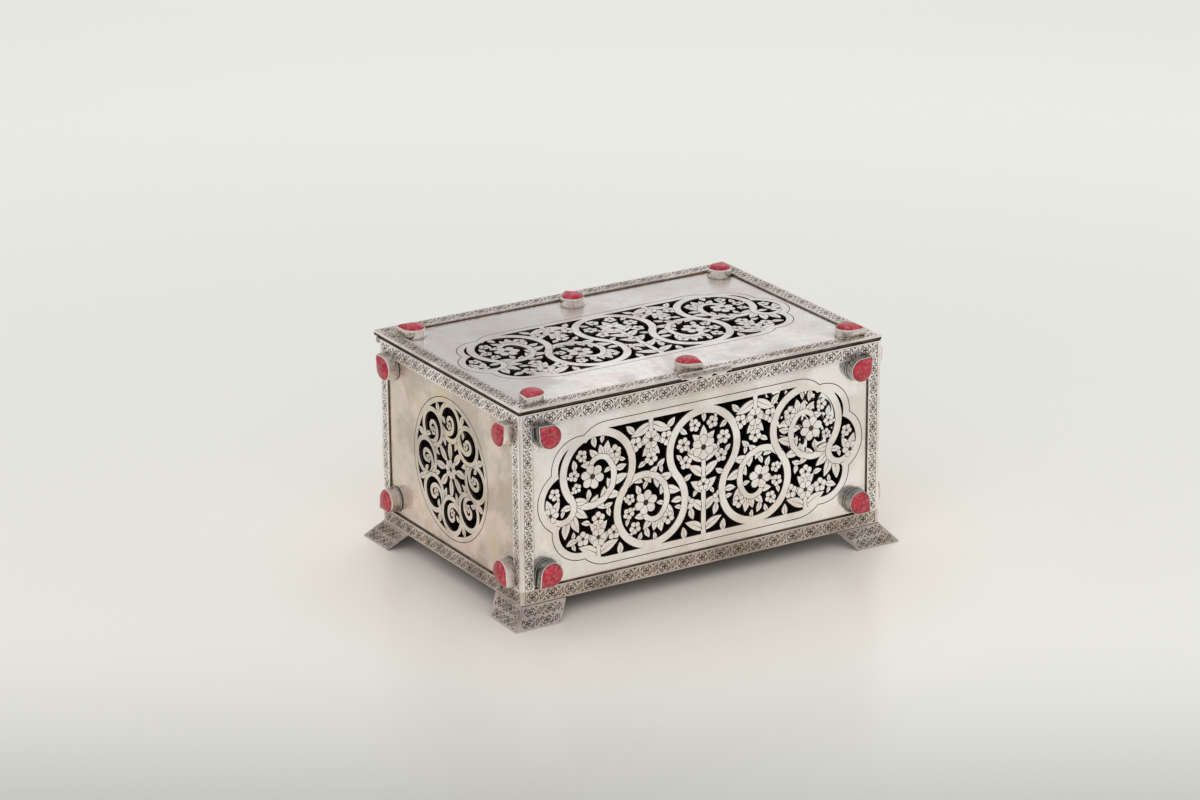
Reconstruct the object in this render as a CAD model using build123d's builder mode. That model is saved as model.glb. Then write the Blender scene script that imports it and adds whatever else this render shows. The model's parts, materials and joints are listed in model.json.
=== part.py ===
from build123d import *
import os
from math import acos, atan2, ceil, cos, degrees, radians, sin, sqrt

# Body: four sheets soldered into a box, measured over the border strips
length = 200.0
depth = 132.0
body_height = 93.0
sheet = 1.2

# Border strips: a flat band with a sunk channel for the stamped pattern
strip_width = 7.0
strip_thickness = 1.0
strip_rim = 0.7
corner_rim = 2.0
channel_depth = 0.35
corner_radius = 0.8

# Feet: a corner bracket of thin sheet, flared outwards
foot_height = 9.0
foot_splay = 7.6
foot_reach = 24.0
foot_sheet = 1.3

# Lid: a flat plate with its own border strips, longer than the body at the back
lid_gap = 0.5
lid_sheet = 1.1
lid_strip_thickness = 1.2
lid_overhang = 5.0

# Hinge: tubes soldered in turn to the back wall and to the lid, round one pin
knuckle_count = 3
knuckle_radius = 1.5
knuckle_gap = 0.3
hinge_clearance = 0.3
pin_radius = 0.65
pin_clearance = 0.05
lid_web_width = 2.2
wall_web_height = 2.4

# Thumb tab: a bent plate with three shallow lobes, in the middle of the lid's front edge
tab_width = 28.0
tab_thickness = 0.8
tab_seat = 1.3
tab_reach = 2.8
tab_droop = 2.2
tab_lobes = 3
tab_lobe_radius = 6.0
tab_lobe_depth = 1.2

# Stones: drop-shaped cabochons in plain silver collets
stone_radius = 5.0
stone_tip = 7.4
stone_height = 2.1
stone_slope = 35.0
stone_clearance = 0.05
collet_wall = 0.6
collet_seat = 0.4
body_collet_height = 5.6
lid_collet_height = 4.6
drop_facet = 20.5

# Places of the stones, from the outer edges to the middle of each round end
front_stone_inset = 14.0
end_stone_inset = 11.6
upper_stone_inset = 11.4
lower_stone_inset = 14.4
lid_stone_end_inset = 12.8
lid_stone_front_inset = 10.0
lid_stone_back_inset = 15.8
lid_front_middle_shift = -3.4
lid_front_middle_turn = 30.0
lid_back_middle_shift = 1.6

# Cartouche: long opening with three lobes at each end
cartouche_end_margin = 13.3
cartouche_edge_margin = 14.9
end_lobe_radius = 12.95
shoulder_lobe_radius = 11.9
shoulder_lobe_setback = 19.4
shoulder_lobe_rise = 15.0
corner_lobe_radius = 13.7
corner_lobe_setback = 33.4

# Sawn curves are made of short straight cuts, each turning by this many degrees at most
saw_facet = 15.0

# Vine work of the cartouche: a waving ribbon with a scroll and a flower in each bow
bow_count = 5
ribbon_width = 3.8
ribbon_bite = 0.7
scroll_width = 2.6
scroll_radius = 13.0
scroll_inner_radius = 5.6
hook_radius = 6.4
hook_turn = 205.0
scroll_leaves = ((72, True), (144, False))
hook_leaves = (40, 100)
stem_width = 1.8
sprig_height = 7.0
stalk_pairs = 3

# Flowers and leaves
flower_radius = 5.2
flower_petals = 5
flower_notch = 0.62
petal_share = 0.2
leaf_length = 9.0
leaf_width = 4.4
leaf_angle = 42.0
leaf_widest = 0.42

# Medallion: round opening in each end panel with a ring of interlaced hoops
medallion_radius = 32.4
hoop_count = 6
hoop_radius = 14.6
hoop_width = 2.8

# Places and sizes that follow from the ones above
body_bottom = foot_height
body_top = body_bottom + body_height
body_middle = body_bottom + body_height / 2
lid_bottom = body_top + lid_gap
lid_top = lid_bottom + lid_sheet
lid_middle_y = lid_overhang / 2
lid_depth = depth + lid_overhang
front_face = depth / 2 - strip_thickness
end_face = length / 2 - strip_thickness
cartouche_half_length = length / 2 - cartouche_end_margin
cartouche_half_height = body_height / 2 - cartouche_edge_margin
hinge_y = depth / 2 + hinge_clearance + knuckle_radius
hinge_z = lid_bottom - hinge_clearance - knuckle_radius
knuckle_pitch = (length + knuckle_gap) / knuckle_count
knuckle_length = knuckle_pitch - knuckle_gap

os.makedirs("parts", exist_ok=True)


def write(piece, name):
    """Label a finished piece and write it to its own file."""
    piece.label = name
    export_step(piece, f"parts/{name}.step")


def wall_plane(turn, distance, height):
    """A plane on a wall of the body: X along the wall, Y upwards, facing outwards."""
    outward = Vector(sin(radians(turn)), -cos(radians(turn)), 0)
    along = Vector(cos(radians(turn)), sin(radians(turn)), 0)
    origin = outward * distance + Vector(0, 0, height)
    return Plane(origin=origin, x_dir=along, z_dir=outward)


def plan_plane(turn, distance, height):
    """A level plane whose X axis runs backwards along a wall and whose Y axis points outwards."""
    outward = Vector(sin(radians(turn)), -cos(radians(turn)), 0)
    back_along = Vector(-cos(radians(turn)), -sin(radians(turn)), 0)
    origin = outward * distance + Vector(0, 0, height)
    return Plane(origin=origin, x_dir=back_along, z_dir=(0, 0, 1))


def polar(centre, radius, angle):
    """The point at a distance and an angle in degrees from a centre."""
    return (centre[0] + radius * cos(radians(angle)), centre[1] + radius * sin(radians(angle)))


def faceted_arc(centre, radius, start, turn, facet):
    """Points along an arc in even steps of no more than one facet."""
    steps = ceil(abs(turn) / facet)
    return [polar(centre, radius, start + turn * i / steps) for i in range(steps + 1)]


def outline_shape(points):
    """The flat shape inside a closed run of straight edges."""
    with BuildSketch(mode=Mode.PRIVATE) as shape:
        with BuildLine():
            Polyline(*points, close=True)
        make_face()
    return shape.sketch


def drop_shape(radius):
    """A drop in the stones' proportions: round end about the origin, tip on the X axis."""
    tip = radius * stone_tip / stone_radius
    half_angle = degrees(acos(radius / tip))
    round_end = faceted_arc((0, 0), radius, half_angle, 360 - 2 * half_angle, drop_facet)
    return outline_shape([(tip, 0), *round_end])


def band_plan(face_length, thickness):
    """Plan of a border strip along a wall: ends cut to the corner's mitre, corners rounded."""
    half = face_length / 2
    with BuildSketch(mode=Mode.PRIVATE) as plan:
        with BuildLine():
            corner = (half - corner_radius, thickness - corner_radius)
            right = CenterArc(corner, corner_radius, 45, 45)
            left = CenterArc((-corner[0], corner[1]), corner_radius, 90, 45)
            Line(right @ 1, left @ 0)
            Polyline(left @ 1, (thickness - half, 0), (half - thickness, 0), right @ 0)
        make_face()
    return plan.sketch


def leaf_shape():
    """A pointed leaf from the origin along the X axis."""
    side = (leaf_length * leaf_widest, leaf_width / 2)
    return outline_shape([(0, 0), side, (leaf_length, 0), (side[0], -side[1])])


def flower_shape(petals):
    """A flower about the origin, with a notch between each two blunt petals."""
    step = 360 / petals
    rim = []
    for i in range(petals):
        rim.append(polar((0, 0), flower_radius * flower_notch, (i - 0.5) * step))
        rim.append(polar((0, 0), flower_radius, (i - petal_share) * step))
        rim.append(polar((0, 0), flower_radius, (i + petal_share) * step))
    return outline_shape(rim)


def ribbon_shape(centre, radius, start, turn, width):
    """A flat ribbon of even width along an arc."""
    outer = faceted_arc(centre, radius + width / 2, start, turn, saw_facet)
    inner = faceted_arc(centre, radius - width / 2, start, turn, saw_facet)
    return outline_shape([*outer, *reversed(inner)])


def cartouche_outline():
    """The long opening: straight above and below, with three lobes at each end."""
    corner_x = cartouche_half_length - corner_lobe_setback + corner_lobe_radius
    shoulder_x = cartouche_half_length - shoulder_lobe_setback
    end_x = cartouche_half_length - end_lobe_radius
    with BuildSketch(mode=Mode.PRIVATE) as outline:
        RectangleRounded(2 * corner_x, 2 * cartouche_half_height, corner_lobe_radius)
        with GridLocations(2 * shoulder_x, 2 * shoulder_lobe_rise, 2, 2):
            Circle(shoulder_lobe_radius)
        with GridLocations(2 * end_x, 0, 2, 1):
            Circle(end_lobe_radius)
    return outline.sketch


def scroll_shape(bend, dip):
    """The scroll in a bow about its centre: it leaves the right end and curls in to a flower."""
    first = polar((0, 0), bend - scroll_radius, -dip)
    second = polar(first, scroll_radius - scroll_inner_radius, 180 - dip)
    with BuildSketch(mode=Mode.PRIVATE) as shape:
        add(ribbon_shape(first, scroll_radius, -dip, -180, scroll_width))
        add(ribbon_shape(second, scroll_inner_radius, 180 - dip, -180, scroll_width))
        with Locations(polar(second, scroll_inner_radius, -dip)):
            add(flower_shape(flower_petals))
        for place, inward in scroll_leaves:
            angle = -dip - place
            with Locations(polar(first, scroll_radius, angle)):
                add(leaf_shape(), rotation=angle - 90 + (-leaf_angle if inward else leaf_angle))
    return shape.sketch


def hook_shape(bend, dip):
    """The ribbon's last curl, from the right end of the last bow round to a flower."""
    centre = polar((0, 0), bend + hook_radius, -dip)
    with BuildSketch(mode=Mode.PRIVATE) as shape:
        add(ribbon_shape(centre, hook_radius, 180 - dip, hook_turn, scroll_width))
        with Locations(polar(centre, hook_radius, 180 - dip + hook_turn)):
            add(flower_shape(flower_petals))
        for place in hook_leaves:
            angle = 180 - dip + place
            with Locations(polar(centre, hook_radius, angle)):
                add(leaf_shape(), rotation=angle + 90 - leaf_angle)
    return shape.sketch


def stalk_shape(height, pairs):
    """A straight stem up the Y axis with pairs of leaves and one more leaf at its top."""
    with BuildSketch(mode=Mode.PRIVATE) as shape:
        with Locations((0, height / 2)):
            Rectangle(stem_width, height)
        for i in range(pairs):
            with Locations((0, height * (i + 1) / pairs - stem_width)):
                add(leaf_shape(), rotation=90 - leaf_angle)
                add(leaf_shape(), rotation=90 + leaf_angle)
        with Locations((0, height - stem_width)):
            add(leaf_shape(), rotation=90)
    return shape.sketch


def cartouche_openings():
    """What is sawn out of a long panel: the cartouche less its vine work."""
    pitch = 2 * cartouche_half_length / (bow_count + 1)
    crest = cartouche_half_height - ribbon_width / 2 + ribbon_bite
    bend = (pitch**2 + 4 * crest**2) / (8 * crest)
    rise = crest - bend
    dip = degrees(atan2(rise, pitch / 2))
    bow = ribbon_shape((0, 0), bend, -dip, 180 + 2 * dip, ribbon_width)
    scroll = scroll_shape(bend, dip)
    last = bow_count // 2
    with BuildSketch(mode=Mode.PRIVATE) as vine:
        for i in range(last + 1):
            side = 1 if i % 2 == 0 else -1
            turn = 0 if side > 0 else 180
            with Locations((i * pitch, side * rise)):
                add(bow, rotation=turn)
                if i > 0:
                    add(scroll if side > 0 else mirror(scroll, about=Plane.XZ, mode=Mode.PRIVATE))
                if i == last:
                    add(hook_shape(bend, dip))
            if i > 0:
                with Locations((i * pitch, -side * cartouche_half_height)):
                    add(stalk_shape(sprig_height, 1), rotation=turn)
        mirror(about=Plane.YZ)
        with Locations((0, -cartouche_half_height)):
            add(stalk_shape(cartouche_half_height + rise, stalk_pairs))
        with Locations((0, rise)):
            add(flower_shape(flower_petals), rotation=90)
    with BuildSketch(mode=Mode.PRIVATE) as openings:
        add(cartouche_outline())
        add(vine.sketch, mode=Mode.SUBTRACT)
    return openings.sketch


def medallion_openings():
    """What is sawn out of an end panel: the round opening less its hoops, leaves and flower."""
    hoop_centre = medallion_radius - hoop_radius - hoop_width / 2 + ribbon_bite
    cuts = round(360 / saw_facet)
    with BuildSketch(mode=Mode.PRIVATE) as hoop:
        RegularPolygon(hoop_radius + hoop_width / 2, cuts)
        RegularPolygon(hoop_radius - hoop_width / 2, cuts, mode=Mode.SUBTRACT)
    with BuildSketch(mode=Mode.PRIVATE) as openings:
        Circle(medallion_radius)
        with PolarLocations(hoop_centre, hoop_count, 90):
            add(hoop.sketch, mode=Mode.SUBTRACT)
        with PolarLocations(hoop_centre - leaf_width, hoop_count, 90):
            add(leaf_shape(), mode=Mode.SUBTRACT)
        add(flower_shape(hoop_count), mode=Mode.SUBTRACT)
    return openings.sketch


def corner_places(along, rise, fall):
    """Places of four stones on a face, each with its tip towards its own corner."""
    places = []
    for side in (1, -1):
        for height in (rise, -fall):
            places.append(Location((side * along, height), degrees(atan2(height, side * rise))))
    return places


def collet_row(plane, places, height, border):
    """Collets on a face: plain drop-shaped walls with a seat, stepped over the border strips."""
    outer = drop_shape(stone_radius + stone_clearance + collet_wall)
    inner = drop_shape(stone_radius + stone_clearance)
    with BuildPart(mode=Mode.PRIVATE) as row:
        with BuildSketch(plane):
            with Locations(*places):
                add(outer)
        extrude(amount=height)
        with BuildSketch(plane.offset(height - collet_seat)):
            with Locations(*places):
                add(inner)
        extrude(amount=collet_seat, mode=Mode.SUBTRACT)
        add(border, mode=Mode.SUBTRACT)
    return row.part


def stone_row(plane, places, height):
    """Stones on a face, each on its seat and narrowing to a flat top."""
    with BuildPart(mode=Mode.PRIVATE) as row:
        with BuildSketch(plane.offset(height - collet_seat)):
            with Locations(*places):
                add(drop_shape(stone_radius))
        extrude(amount=stone_height, taper=stone_slope)
    return row.part


def border_block(plane, face_length, face_height, thickness):
    """The space that the border strips of a face take up."""
    with BuildPart(mode=Mode.PRIVATE) as block:
        with BuildSketch(plane):
            Rectangle(face_length, face_height)
            Rectangle(face_length - 2 * strip_width, face_height - 2 * strip_width, mode=Mode.SUBTRACT)
        extrude(amount=thickness)
    return block.part


# Long walls: the front is pierced, the back is plain
for turn, name in ((0, "front_panel"), (180, "back_panel")):
    with BuildPart() as long_wall:
        with BuildSketch(wall_plane(turn, front_face, body_middle)):
            Rectangle(2 * end_face, body_height)
            if turn == 0:
                add(cartouche_openings(), mode=Mode.SUBTRACT)
        extrude(amount=-sheet)
    write(long_wall.part, name)

# End walls, between the long ones
for turn, name in ((90, "right_end_panel"), (270, "left_end_panel")):
    with BuildPart() as end_wall:
        with BuildSketch(wall_plane(turn, end_face, body_middle)):
            Rectangle(2 * (front_face - sheet), body_height)
            add(medallion_openings(), mode=Mode.SUBTRACT)
        extrude(amount=-sheet)
    write(end_wall.part, name)

# Bottom sheet inside the walls
with BuildPart() as base_plate:
    with BuildSketch(Plane.XY.offset(body_bottom)):
        Rectangle(2 * (end_face - sheet), 2 * (front_face - sheet))
    extrude(amount=sheet)
write(base_plate.part, "base_plate")

# Border strips of the body: level ones above and below, upright ones between them
walls = (
    ("front", 0, length, depth, ("left", "right")),
    ("right", 90, depth, length, ("front", "back")),
    ("back", 180, length, depth, ("right", "left")),
    ("left", 270, depth, length, ("back", "front")),
)
upright_height = body_height - 2 * strip_width
for wall_name, turn, face_length, span, corner_names in walls:
    face = span / 2 - strip_thickness
    for level, bottom in (("bottom", body_bottom), ("top", body_top - strip_width)):
        with BuildPart() as level_strip:
            with BuildSketch(plan_plane(turn, face, bottom)):
                add(band_plan(face_length, strip_thickness))
            extrude(amount=strip_width)
            if (wall_name, level) != ("back", "top"):
                with BuildSketch(wall_plane(turn, span / 2, bottom + strip_width / 2)):
                    Rectangle(face_length - 2 * corner_rim, strip_width - 2 * strip_rim)
                extrude(amount=-channel_depth, mode=Mode.SUBTRACT)
        write(level_strip.part, f"{wall_name}_{level}_strip")
    for side, corner_name in zip((1, -1), corner_names):
        with BuildPart() as upright_strip:
            with BuildSketch(plan_plane(turn, face, body_bottom + strip_width)):
                add(band_plan(face_length, strip_thickness))
                with Locations((side * (face_length - strip_width) / 2, strip_thickness / 2)):
                    Rectangle(strip_width, strip_thickness, mode=Mode.INTERSECT)
            extrude(amount=upright_height)
            channel_width = strip_width - strip_rim - corner_rim
            channel_middle = face_length / 2 - corner_rim - channel_width / 2
            with BuildSketch(wall_plane(turn, span / 2, body_middle)):
                with Locations((-side * channel_middle, 0)):
                    Rectangle(channel_width, upright_height)
            extrude(amount=-channel_depth, mode=Mode.SUBTRACT)
        write(upright_strip.part, f"{wall_name}_{corner_name}_upright")

# Feet: corner brackets flared outwards to the floor
flare = sqrt(2 * foot_splay**2 + foot_height**2)
for x_side, x_name in ((1, "right"), (-1, "left")):
    for y_side, y_name in ((-1, "front"), (1, "back")):
        with BuildPart() as foot:
            with BuildSketch(Plane.XY.offset(foot_height)):
                middle = (x_side * (length - foot_reach) / 2, y_side * (depth - foot_reach) / 2)
                with Locations(middle):
                    Rectangle(foot_reach, foot_reach)
                with Locations((middle[0] - x_side * foot_sheet, middle[1] - y_side * foot_sheet)):
                    Rectangle(foot_reach, foot_reach, mode=Mode.SUBTRACT)
            down = (x_side * foot_splay, y_side * foot_splay, -foot_height)
            extrude(amount=flare, dir=down)
        write(foot.part, f"{y_name}_{x_name}_foot")

# Lid plate with the same cartouche as the front
with BuildPart() as lid_plate:
    with BuildSketch(Plane.XY.offset(lid_bottom)):
        with Locations((0, lid_middle_y)):
            Rectangle(length, lid_depth)
            add(cartouche_openings(), mode=Mode.SUBTRACT)
    extrude(amount=lid_sheet)
write(lid_plate.part, "lid_plate")

# Border strips of the lid: long ones front and back, short ones between them
lid_strips = (
    ("lid_front_strip", 0, lid_middle_y - (lid_depth - strip_width) / 2, length, strip_width),
    ("lid_back_strip", 0, lid_middle_y + (lid_depth - strip_width) / 2, length, strip_width),
    ("lid_right_strip", (length - strip_width) / 2, lid_middle_y, strip_width, lid_depth - 2 * strip_width),
    ("lid_left_strip", (strip_width - length) / 2, lid_middle_y, strip_width, lid_depth - 2 * strip_width),
)
for name, x, y, across, along in lid_strips:
    rim_x = corner_rim if across > along else strip_rim
    rim_y = strip_rim if across > along else 0
    with BuildPart() as lid_strip:
        with BuildSketch(Plane.XY.offset(lid_top)):
            with Locations((x, y)):
                Rectangle(across, along)
        extrude(amount=lid_strip_thickness)
        with BuildSketch(Plane.XY.offset(lid_top + lid_strip_thickness)):
            with Locations((x, y)):
                Rectangle(across - 2 * rim_x, along - 2 * rim_y)
        extrude(amount=-channel_depth, mode=Mode.SUBTRACT)
    write(lid_strip.part, name)

# Hinge tubes: the outer ones on the back wall, the middle one under the lid
for i in range(knuckle_count):
    start = -length / 2 + i * knuckle_pitch
    on_wall = i % 2 == 0
    with BuildPart() as knuckle:
        with BuildSketch(Plane.YZ.offset(start)):
            with Locations((hinge_y, hinge_z)):
                Circle(knuckle_radius)
            if on_wall:
                with Locations(((hinge_y + depth / 2) / 2, hinge_z)):
                    Rectangle(hinge_y - depth / 2, wall_web_height)
            else:
                with Locations((hinge_y, (hinge_z + lid_bottom) / 2)):
                    Rectangle(lid_web_width, lid_bottom - hinge_z)
            with Locations((hinge_y, hinge_z)):
                Circle(pin_radius + pin_clearance, mode=Mode.SUBTRACT)
        extrude(amount=knuckle_length)
    write(knuckle.part, f"{'wall' if on_wall else 'lid'}_knuckle_{i + 1}")

# Hinge pin
with BuildPart() as hinge_pin:
    with BuildSketch(Plane.YZ.offset(-length / 2)):
        with Locations((hinge_y, hinge_z)):
            Circle(pin_radius)
    extrude(amount=length)
write(hinge_pin.part, "hinge_pin")

# Thumb tab, bent down over the lid's front edge
tab_bottom = lid_top + lid_strip_thickness
tab_front = -depth / 2
with BuildPart() as thumb_tab:
    with BuildSketch(Plane.YZ.offset(-tab_width / 2)):
        with BuildLine():
            Polyline(
                (tab_front + tab_seat, tab_bottom),
                (tab_front + tab_seat, tab_bottom + tab_thickness),
                (tab_front, tab_bottom + tab_thickness),
                (tab_front - tab_reach, tab_bottom + tab_thickness - tab_droop),
                (tab_front - tab_reach, tab_bottom - tab_droop),
                (tab_front, tab_bottom),
                close=True,
            )
        make_face()
    extrude(amount=tab_width)
    tab_depth = tab_seat + tab_reach - tab_lobe_depth
    with BuildSketch(Plane.XY.offset(tab_bottom - tab_droop)):
        with Locations((0, tab_front - tab_reach + tab_lobe_radius)):
            with GridLocations((tab_width - 2 * tab_lobe_radius) / (tab_lobes - 1), 0, tab_lobes, 1):
                Circle(tab_lobe_radius)
        with Locations((0, tab_front + tab_seat - tab_depth / 2)):
            Rectangle(tab_width, tab_depth)
    extrude(amount=tab_droop + tab_thickness, mode=Mode.INTERSECT)
write(thumb_tab.part, "thumb_tab")

# Stones and collets of the body: four on the front and four on each end
rise = body_height / 2 - upper_stone_inset
fall = body_height / 2 - lower_stone_inset
front_places = corner_places(length / 2 - front_stone_inset, rise, fall)
end_places = corner_places(depth / 2 - end_stone_inset, rise, fall)
set_walls = (
    (0, front_face, length, front_places),
    (90, end_face, depth, end_places),
    (270, end_face, depth, end_places),
)
with BuildPart() as body_collets:
    for turn, face, face_length, places in set_walls:
        plane = wall_plane(turn, face, body_middle)
        border = border_block(plane, face_length, body_height, strip_thickness)
        add(collet_row(plane, places, body_collet_height, border))
write(body_collets.part, "body_collets")

with BuildPart() as body_stones:
    for turn, face, face_length, places in set_walls:
        add(stone_row(wall_plane(turn, face, body_middle), places, body_collet_height))
write(body_stones.part, "body_stones")

# Stones and collets of the lid: one at each corner and one in the middle of each long side
lid_plane = Plane((0, lid_middle_y, lid_top))
# The maker set the two middle stones a little off the middle
lid_places = []
lid_rows = (
    (1, lid_stone_back_inset, lid_back_middle_shift, 0),
    (-1, lid_stone_front_inset, lid_front_middle_shift, lid_front_middle_turn),
)
for x_side in (1, 0, -1):
    for y_side, inset, shift, turn in lid_rows:
        off_middle = 1 - abs(x_side)
        x = x_side * (length / 2 - lid_stone_end_inset) + off_middle * shift
        y = y_side * (lid_depth / 2 - inset)
        lid_places.append(Location((x, y), degrees(atan2(y_side, x_side)) + off_middle * turn))

with BuildPart() as lid_collets:
    border = border_block(lid_plane, length, lid_depth, lid_strip_thickness)
    add(collet_row(lid_plane, lid_places, lid_collet_height, border))
write(lid_collets.part, "lid_collets")

with BuildPart() as lid_stones:
    add(stone_row(lid_plane, lid_places, lid_collet_height))
write(lid_stones.part, "lid_stones")
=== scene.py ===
"""Looks of a pierced silver casket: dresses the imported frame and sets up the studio."""

from __future__ import annotations

import json
import logging
import math
from collections.abc import Callable, Sequence
from dataclasses import dataclass, field, replace
from enum import Enum

import bmesh
import bpy
import numpy as np
from bpy.types import Material, Mesh, Node, NodeSocket, NodeTree, Object
from mathutils import Matrix, Vector
from mathutils.geometry import delaunay_2d_cdt

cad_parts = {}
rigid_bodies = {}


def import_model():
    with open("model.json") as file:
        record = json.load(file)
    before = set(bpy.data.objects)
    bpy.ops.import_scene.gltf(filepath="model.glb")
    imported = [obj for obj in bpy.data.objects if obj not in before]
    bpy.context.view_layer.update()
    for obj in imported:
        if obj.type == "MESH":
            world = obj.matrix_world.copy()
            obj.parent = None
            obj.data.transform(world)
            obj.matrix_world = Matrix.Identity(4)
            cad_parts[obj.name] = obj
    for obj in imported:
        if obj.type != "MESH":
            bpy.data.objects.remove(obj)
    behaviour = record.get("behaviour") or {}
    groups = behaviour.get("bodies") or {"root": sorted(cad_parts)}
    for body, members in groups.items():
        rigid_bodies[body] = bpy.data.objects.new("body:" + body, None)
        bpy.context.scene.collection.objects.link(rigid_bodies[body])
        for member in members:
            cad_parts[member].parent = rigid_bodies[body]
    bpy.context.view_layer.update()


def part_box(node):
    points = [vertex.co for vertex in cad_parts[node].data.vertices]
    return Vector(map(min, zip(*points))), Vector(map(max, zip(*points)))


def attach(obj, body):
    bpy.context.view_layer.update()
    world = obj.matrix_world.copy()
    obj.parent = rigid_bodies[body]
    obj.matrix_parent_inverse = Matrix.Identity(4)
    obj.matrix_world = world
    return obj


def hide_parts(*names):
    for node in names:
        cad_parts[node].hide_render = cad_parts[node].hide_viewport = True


Point = tuple[float, float]
Loop = list[Point]
Colour = tuple[float, ...]

LOG = logging.getLogger("casket")
MM = 0.001
WIRE_SIDES = 6
EAST, NORTH, UP = Vector((1, 0, 0)), Vector((0, 1, 0)), Vector((0, 0, 1))


# Flat geometry, in millimetres


def polar(centre: Point, radius: float, angle: float) -> Point:
    """The point at a distance and an angle in degrees from a centre."""
    turn = math.radians(angle)
    return (centre[0] + radius * math.cos(turn), centre[1] + radius * math.sin(turn))


def arc(centre: Point, radius: float, start: float, turn: float, step: float = 6.0) -> Loop:
    """Points along an arc, both ends included.

    Args:
        centre: the arc's centre.
        radius: its radius.
        start: the angle it starts from, in degrees.
        turn: how far it turns, positive for counter-clockwise.
        step: the largest turn between two points.

    Returns:
        The points in even steps.
    """
    count = max(2, math.ceil(abs(turn) / step))
    return [polar(centre, radius, start + turn * i / count) for i in range(count + 1)]


def circle(centre: Point, radius: float, step: float = 12.0) -> Loop:
    """A closed circle without its repeated last point."""
    return arc(centre, radius, 0, 360, step)[:-1]


def ribbon(path: Sequence[Point], width: Callable[[float], float]) -> Loop:
    """The outline of a ribbon along a path.

    Args:
        path: points along the ribbon's middle.
        width: its width as a function of the share of the way along, from 0 to 1.

    Returns:
        The closed outline.
    """
    left: Loop = []
    right: Loop = []
    last = len(path) - 1
    for i, (x, y) in enumerate(path):
        x0, y0 = path[max(i - 1, 0)]
        x1, y1 = path[min(i + 1, last)]
        run = math.hypot(x1 - x0, y1 - y0) or 1.0
        half = width(i / last) / 2
        nx, ny = -(y1 - y0) / run * half, (x1 - x0) / run * half
        left.append((x + nx, y + ny))
        right.append((x - nx, y - ny))
    return left + right[::-1]


def area_of(loop: Loop) -> float:
    """Signed area of a closed loop, positive when it runs counter-clockwise."""
    return sum(a[0] * b[1] - b[0] * a[1] for a, b in zip(loop, loop[1:] + loop[:1])) / 2


@dataclass(frozen=True)
class Spot:
    """A place on a sheet, shifted and turned."""

    x: float = 0.0
    y: float = 0.0
    angle: float = 0.0

    @staticmethod
    def around(centre: Point, radius: float, angle: float, turn: float = 0.0) -> Spot:
        """The place at a distance and an angle from a centre, turned by itself."""
        return Spot(*polar(centre, radius, angle), turn)

    def move(self, loop: Sequence[Point], stretch: Point = (1, 1)) -> Loop:
        """The loop stretched or mirrored, and then carried to this place.

        Args:
            loop: points in millimetres about the origin.
            stretch: factors along X and Y, negative to mirror.

        Returns:
            The carried points.
        """
        c, s = math.cos(math.radians(self.angle)), math.sin(math.radians(self.angle))
        wide = [(px * stretch[0], py * stretch[1]) for px, py in loop]
        return [(self.x + px * c - py * s, self.y + px * s + py * c) for px, py in wide]


@dataclass
class Ring:
    """An engraved line between an outer and an inner outline, each made of overlapping loops."""

    outer: list[Loop]
    inner: list[Loop]

    def moved(self, spot: Spot, stretch: Point) -> Ring:
        """A copy stretched and then carried to a place."""
        return Ring(*([spot.move(loop, stretch) for loop in side] for side in (self.outer, self.inner)))


@dataclass
class Motif:
    """One sawn shape with its engraving: body, the same shape a line's width smaller, lines."""

    body: Loop
    inner: Loop
    lines: list[Loop] = field(default_factory=list)

    def moved(self, spot: Spot, stretch: Point = (1, 1)) -> Motif:
        """A copy mirrored where the stretch is negative, and then carried to a place."""
        lines = [spot.move(line, stretch) for line in self.lines]
        return Motif(spot.move(self.body, stretch), spot.move(self.inner, stretch), lines)


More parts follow.
